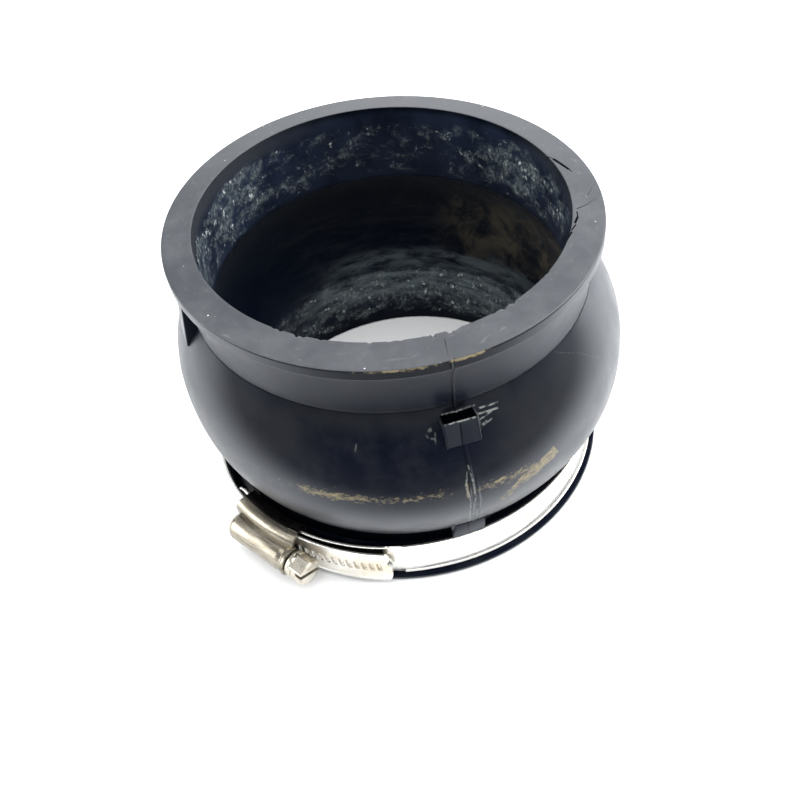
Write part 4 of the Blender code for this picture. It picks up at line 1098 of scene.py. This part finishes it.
def pressed_stainless():
    """Dull warm stainless, streaked along the drawn tube and smeared with dried grime, its top flange
    darkened next to the rubber with painted shade and reflection.
    """
    material, shader = surface("pressed stainless")
    place, turn, radius, z, sheet = around_axis(shader)
    streaks = clouds(stretched(sheet, (0.12, 1.0, 1.0)), 700.0, 4.0, 0.6)
    cloudy = clouds(place, 150.0, 5.0, 0.6, 0.5)
    # Painted shade and reflection: the top flange next to the rubber is darkened, as it lies in the
    # groove's shade and mirrors the black belly.
    flange_shade = times(ramp(radius, 56.9 * MM, 57.7 * MM, 1.0, 0.0), ramp(z, 14.0 * MM, 14.3 * MM))
    tone = layered(DULL_STEEL, [
        (ramp(streaks, 0.38, 0.62), WARM_STEEL),
        (ramp(cloudy, 0.5, 0.72, 0.0, 0.55), DRIED_GRIME),
        (times(flange_shade, 0.96), EDGE_SHADE),
    ])
    shader.inputs["Metallic"].default_value = 0.9
    roughness = ramp(streaks, 0.3, 0.7, 0.2, 0.32)
    roughness = plus(roughness, ramp(cloudy, 0.45, 0.75, 0.0, 0.14))
    finished(shader, tone, roughness, plus(streaks, cloudy), 0.06 * MM, 0.4)
    return material


def laid_along_screw(name, solid):
    bmesh.ops.transform(solid, matrix=along_screw(), verts=solid.verts[:])
    return add_piece(name, solid)


housing = add_piece("pressed_housing", saddle_outside())
room = strip_room(60.0 * MM, SADDLE_FROM - 1.0, SADDLE_SWEEP + 2.0, 50)
passage = strip_room(58.4 * MM, SADDLE_FROM - 8.0, SADDLE_SWEEP + 16.0, 60)
carve(housing, [
    (laid_along_screw("barrel", screw_barrel()), "UNION"),
    (add_piece("saddle_room", room), "DIFFERENCE"),
    (add_piece("strip_passage", passage), "DIFFERENCE"),
    (laid_along_screw("screw_room", screw_room()), "DIFFERENCE"),
    (add_piece("lock_tab", lock_tab()), "UNION"),
], STEEL_EDGE)
soften = housing.modifiers.new("pressed edges", "BEVEL")
soften.width = PRESSED_EDGE
soften.segments = 2
soften.limit_method = "ANGLE"
soften.angle_limit = math.radians(38)
housing.data.materials.append(pressed_stainless())
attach(housing, "joint")
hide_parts("clamp_housing")


# Clamp screw. Turned from steel bar: a worm that draws the slotted band, a plain journal, a collar against
# the tube's mouth and a 7 mm hexagon head with a saw-cut slot.
WORM_FOOT = -8.6 * MM
WORM_LENGTH = 17.7 * MM
WORM_ROOT = 2.5 * MM
THREAD_DEPTH = 0.7 * MM
JOURNAL_RADIUS = 2.3 * MM
JOURNAL_FOOT = 8.7 * MM
JOURNAL_TOP = 10.9 * MM
COLLAR_RADIUS = 3.9 * MM
COLLAR_FOOT = 10.5 * MM
COLLAR_TOP = 12.4 * MM
HEAD_FOOT = 12.0 * MM
HEAD_TOP = 16.5 * MM
HEAD_TURN = 20
HEAD_ACROSS_FLATS = 7.0 * MM
SAW_CUT_WIDTH = 1.2 * MM
SAW_CUT_FOOT = 14.3 * MM
SAW_CUT_TURN = -24


def worm_skin():
    """A right-hand worm along +Z with rounded crests, faded out at both ends."""
    columns, rows = 48, 200
    skin = bmesh.new()
    rings = []
    for row in range(rows + 1):
        z = WORM_LENGTH * row / rows
        fade = ease(min(z, WORM_LENGTH - z), 0.0, 1.05 * MM)
        ring = []
        for column in range(columns):
            angle = math.tau * column / columns
            phase = (z / SLOT_PITCH - column / columns) % 1.0
            crest = ease(0.5 - abs(phase - 0.5), 0.12, 0.38)
            radius = WORM_ROOT + THREAD_DEPTH * crest * fade
            ring.append(skin.verts.new((radius * math.cos(angle), radius * math.sin(angle), WORM_FOOT + z)))
        rings.append(ring)
    bridge(skin, rings)
    skin.faces.new(list(reversed(rings[0])))
    skin.faces.new(rings[-1])
    return skin


def rounded_collar():
    """The collar that bears on the tube's mouth, with a fine groove round its middle."""
    low, high, wide = COLLAR_FOOT, COLLAR_TOP, COLLAR_RADIUS
    points = [(0.0, low)]
    profile = [(0.3, 0.0), (0.08, 0.1), (0.0, 0.3), (0.0, 0.75), (0.14, 0.9), (0.14, 1.0), (0.0, 1.15)]
    points += [(wide - inward * MM, low + up * MM) for inward, up in profile]
    profile = [(0.0, 0.3), (0.1, 0.08), (0.35, 0.0)]
    points += [(wide - inward * MM, high - down * MM) for inward, down in profile]
    return lathed(points + [(0.0, high)], 72)


def broken_hexagon():
    """The hexagon bar, with its edges slightly broken."""
    corner = HEAD_ACROSS_FLATS / math.sqrt(3)
    turns = [math.radians(HEAD_TURN + 60 * i) for i in range(6)]
    outline = [(corner * math.cos(turn), corner * math.sin(turn)) for turn in turns]
    head = prism(outline, HEAD_FOOT, HEAD_TOP)
    break_edges(head, 0.16 * MM)
    return head


def end_chamfer():
    """The cone that a lathe leaves on the hexagon's end: everything outside it is cut away."""
    outline = [(0.0, 10.0), (6.0, 10.0), (6.0, 15.1), (3.5, 16.52), (0.0, 16.52)]
    return lathed([(radius * MM, z * MM) for radius, z in outline], 72)


def saw_cut():
    half, reach = SAW_CUT_WIDTH / 2, 7 * MM
    slot = prism([(-reach, -half), (reach, -half), (reach, half), (-reach, half)], SAW_CUT_FOOT, 18 * MM)
    turn = Matrix.Rotation(math.radians(SAW_CUT_TURN), 3, "Z")
    bmesh.ops.rotate(slot, verts=slot.verts[:], cent=(0, 0, 0), matrix=turn)
    return slot


TURNED_STEEL = (0.62, 0.58, 0.5)
STEEL_GRIME = (0.36, 0.32, 0.25)


def turned_steel():
    """Turned steel with fine tool rings on the worm and collar and a warm film of grime."""
    material, shader = surface("turned steel")
    place = new_node("ShaderNodeTexCoord", shader).outputs["Object"]
    rings = clouds(stretched(place, (0.1, 0.1, 1.0)), 2200.0, 2.0, 0.5)
    film = clouds(place, 320.0, 5.0, 0.6)
    tone = blend(ramp(film, 0.42, 0.7), TURNED_STEEL, STEEL_GRIME)
    shader.inputs["Metallic"].default_value = 0.85
    roughness = ramp(film, 0.3, 0.7, 0.12, 0.24)
    finished(shader, tone, roughness, plus(rings, film), 0.03 * MM, 0.3)
    return material


screw = add_piece("turned_screw", worm_skin())
journal = [(radius, JOURNAL_FOOT) for radius in (0.0, JOURNAL_RADIUS)]
journal += [(radius, JOURNAL_TOP) for radius in (JOURNAL_RADIUS, 0.0)]
head = add_piece("hexagon", broken_hexagon())
carve(head, [(add_piece("end_chamfer", end_chamfer()), "INTERSECT")], SHARP_EDGE)
carve(screw, [
    (add_piece("journal", lathed(journal, 48)), "UNION"),
    (add_piece("collar", rounded_collar()), "UNION"),
    (head, "UNION"),
    (add_piece("saw_cut", saw_cut()), "DIFFERENCE"),
], SHARP_EDGE)
screw.matrix_world = along_screw()
screw.data.materials.append(turned_steel())
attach(screw, "screw")
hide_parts("clamp_screw")
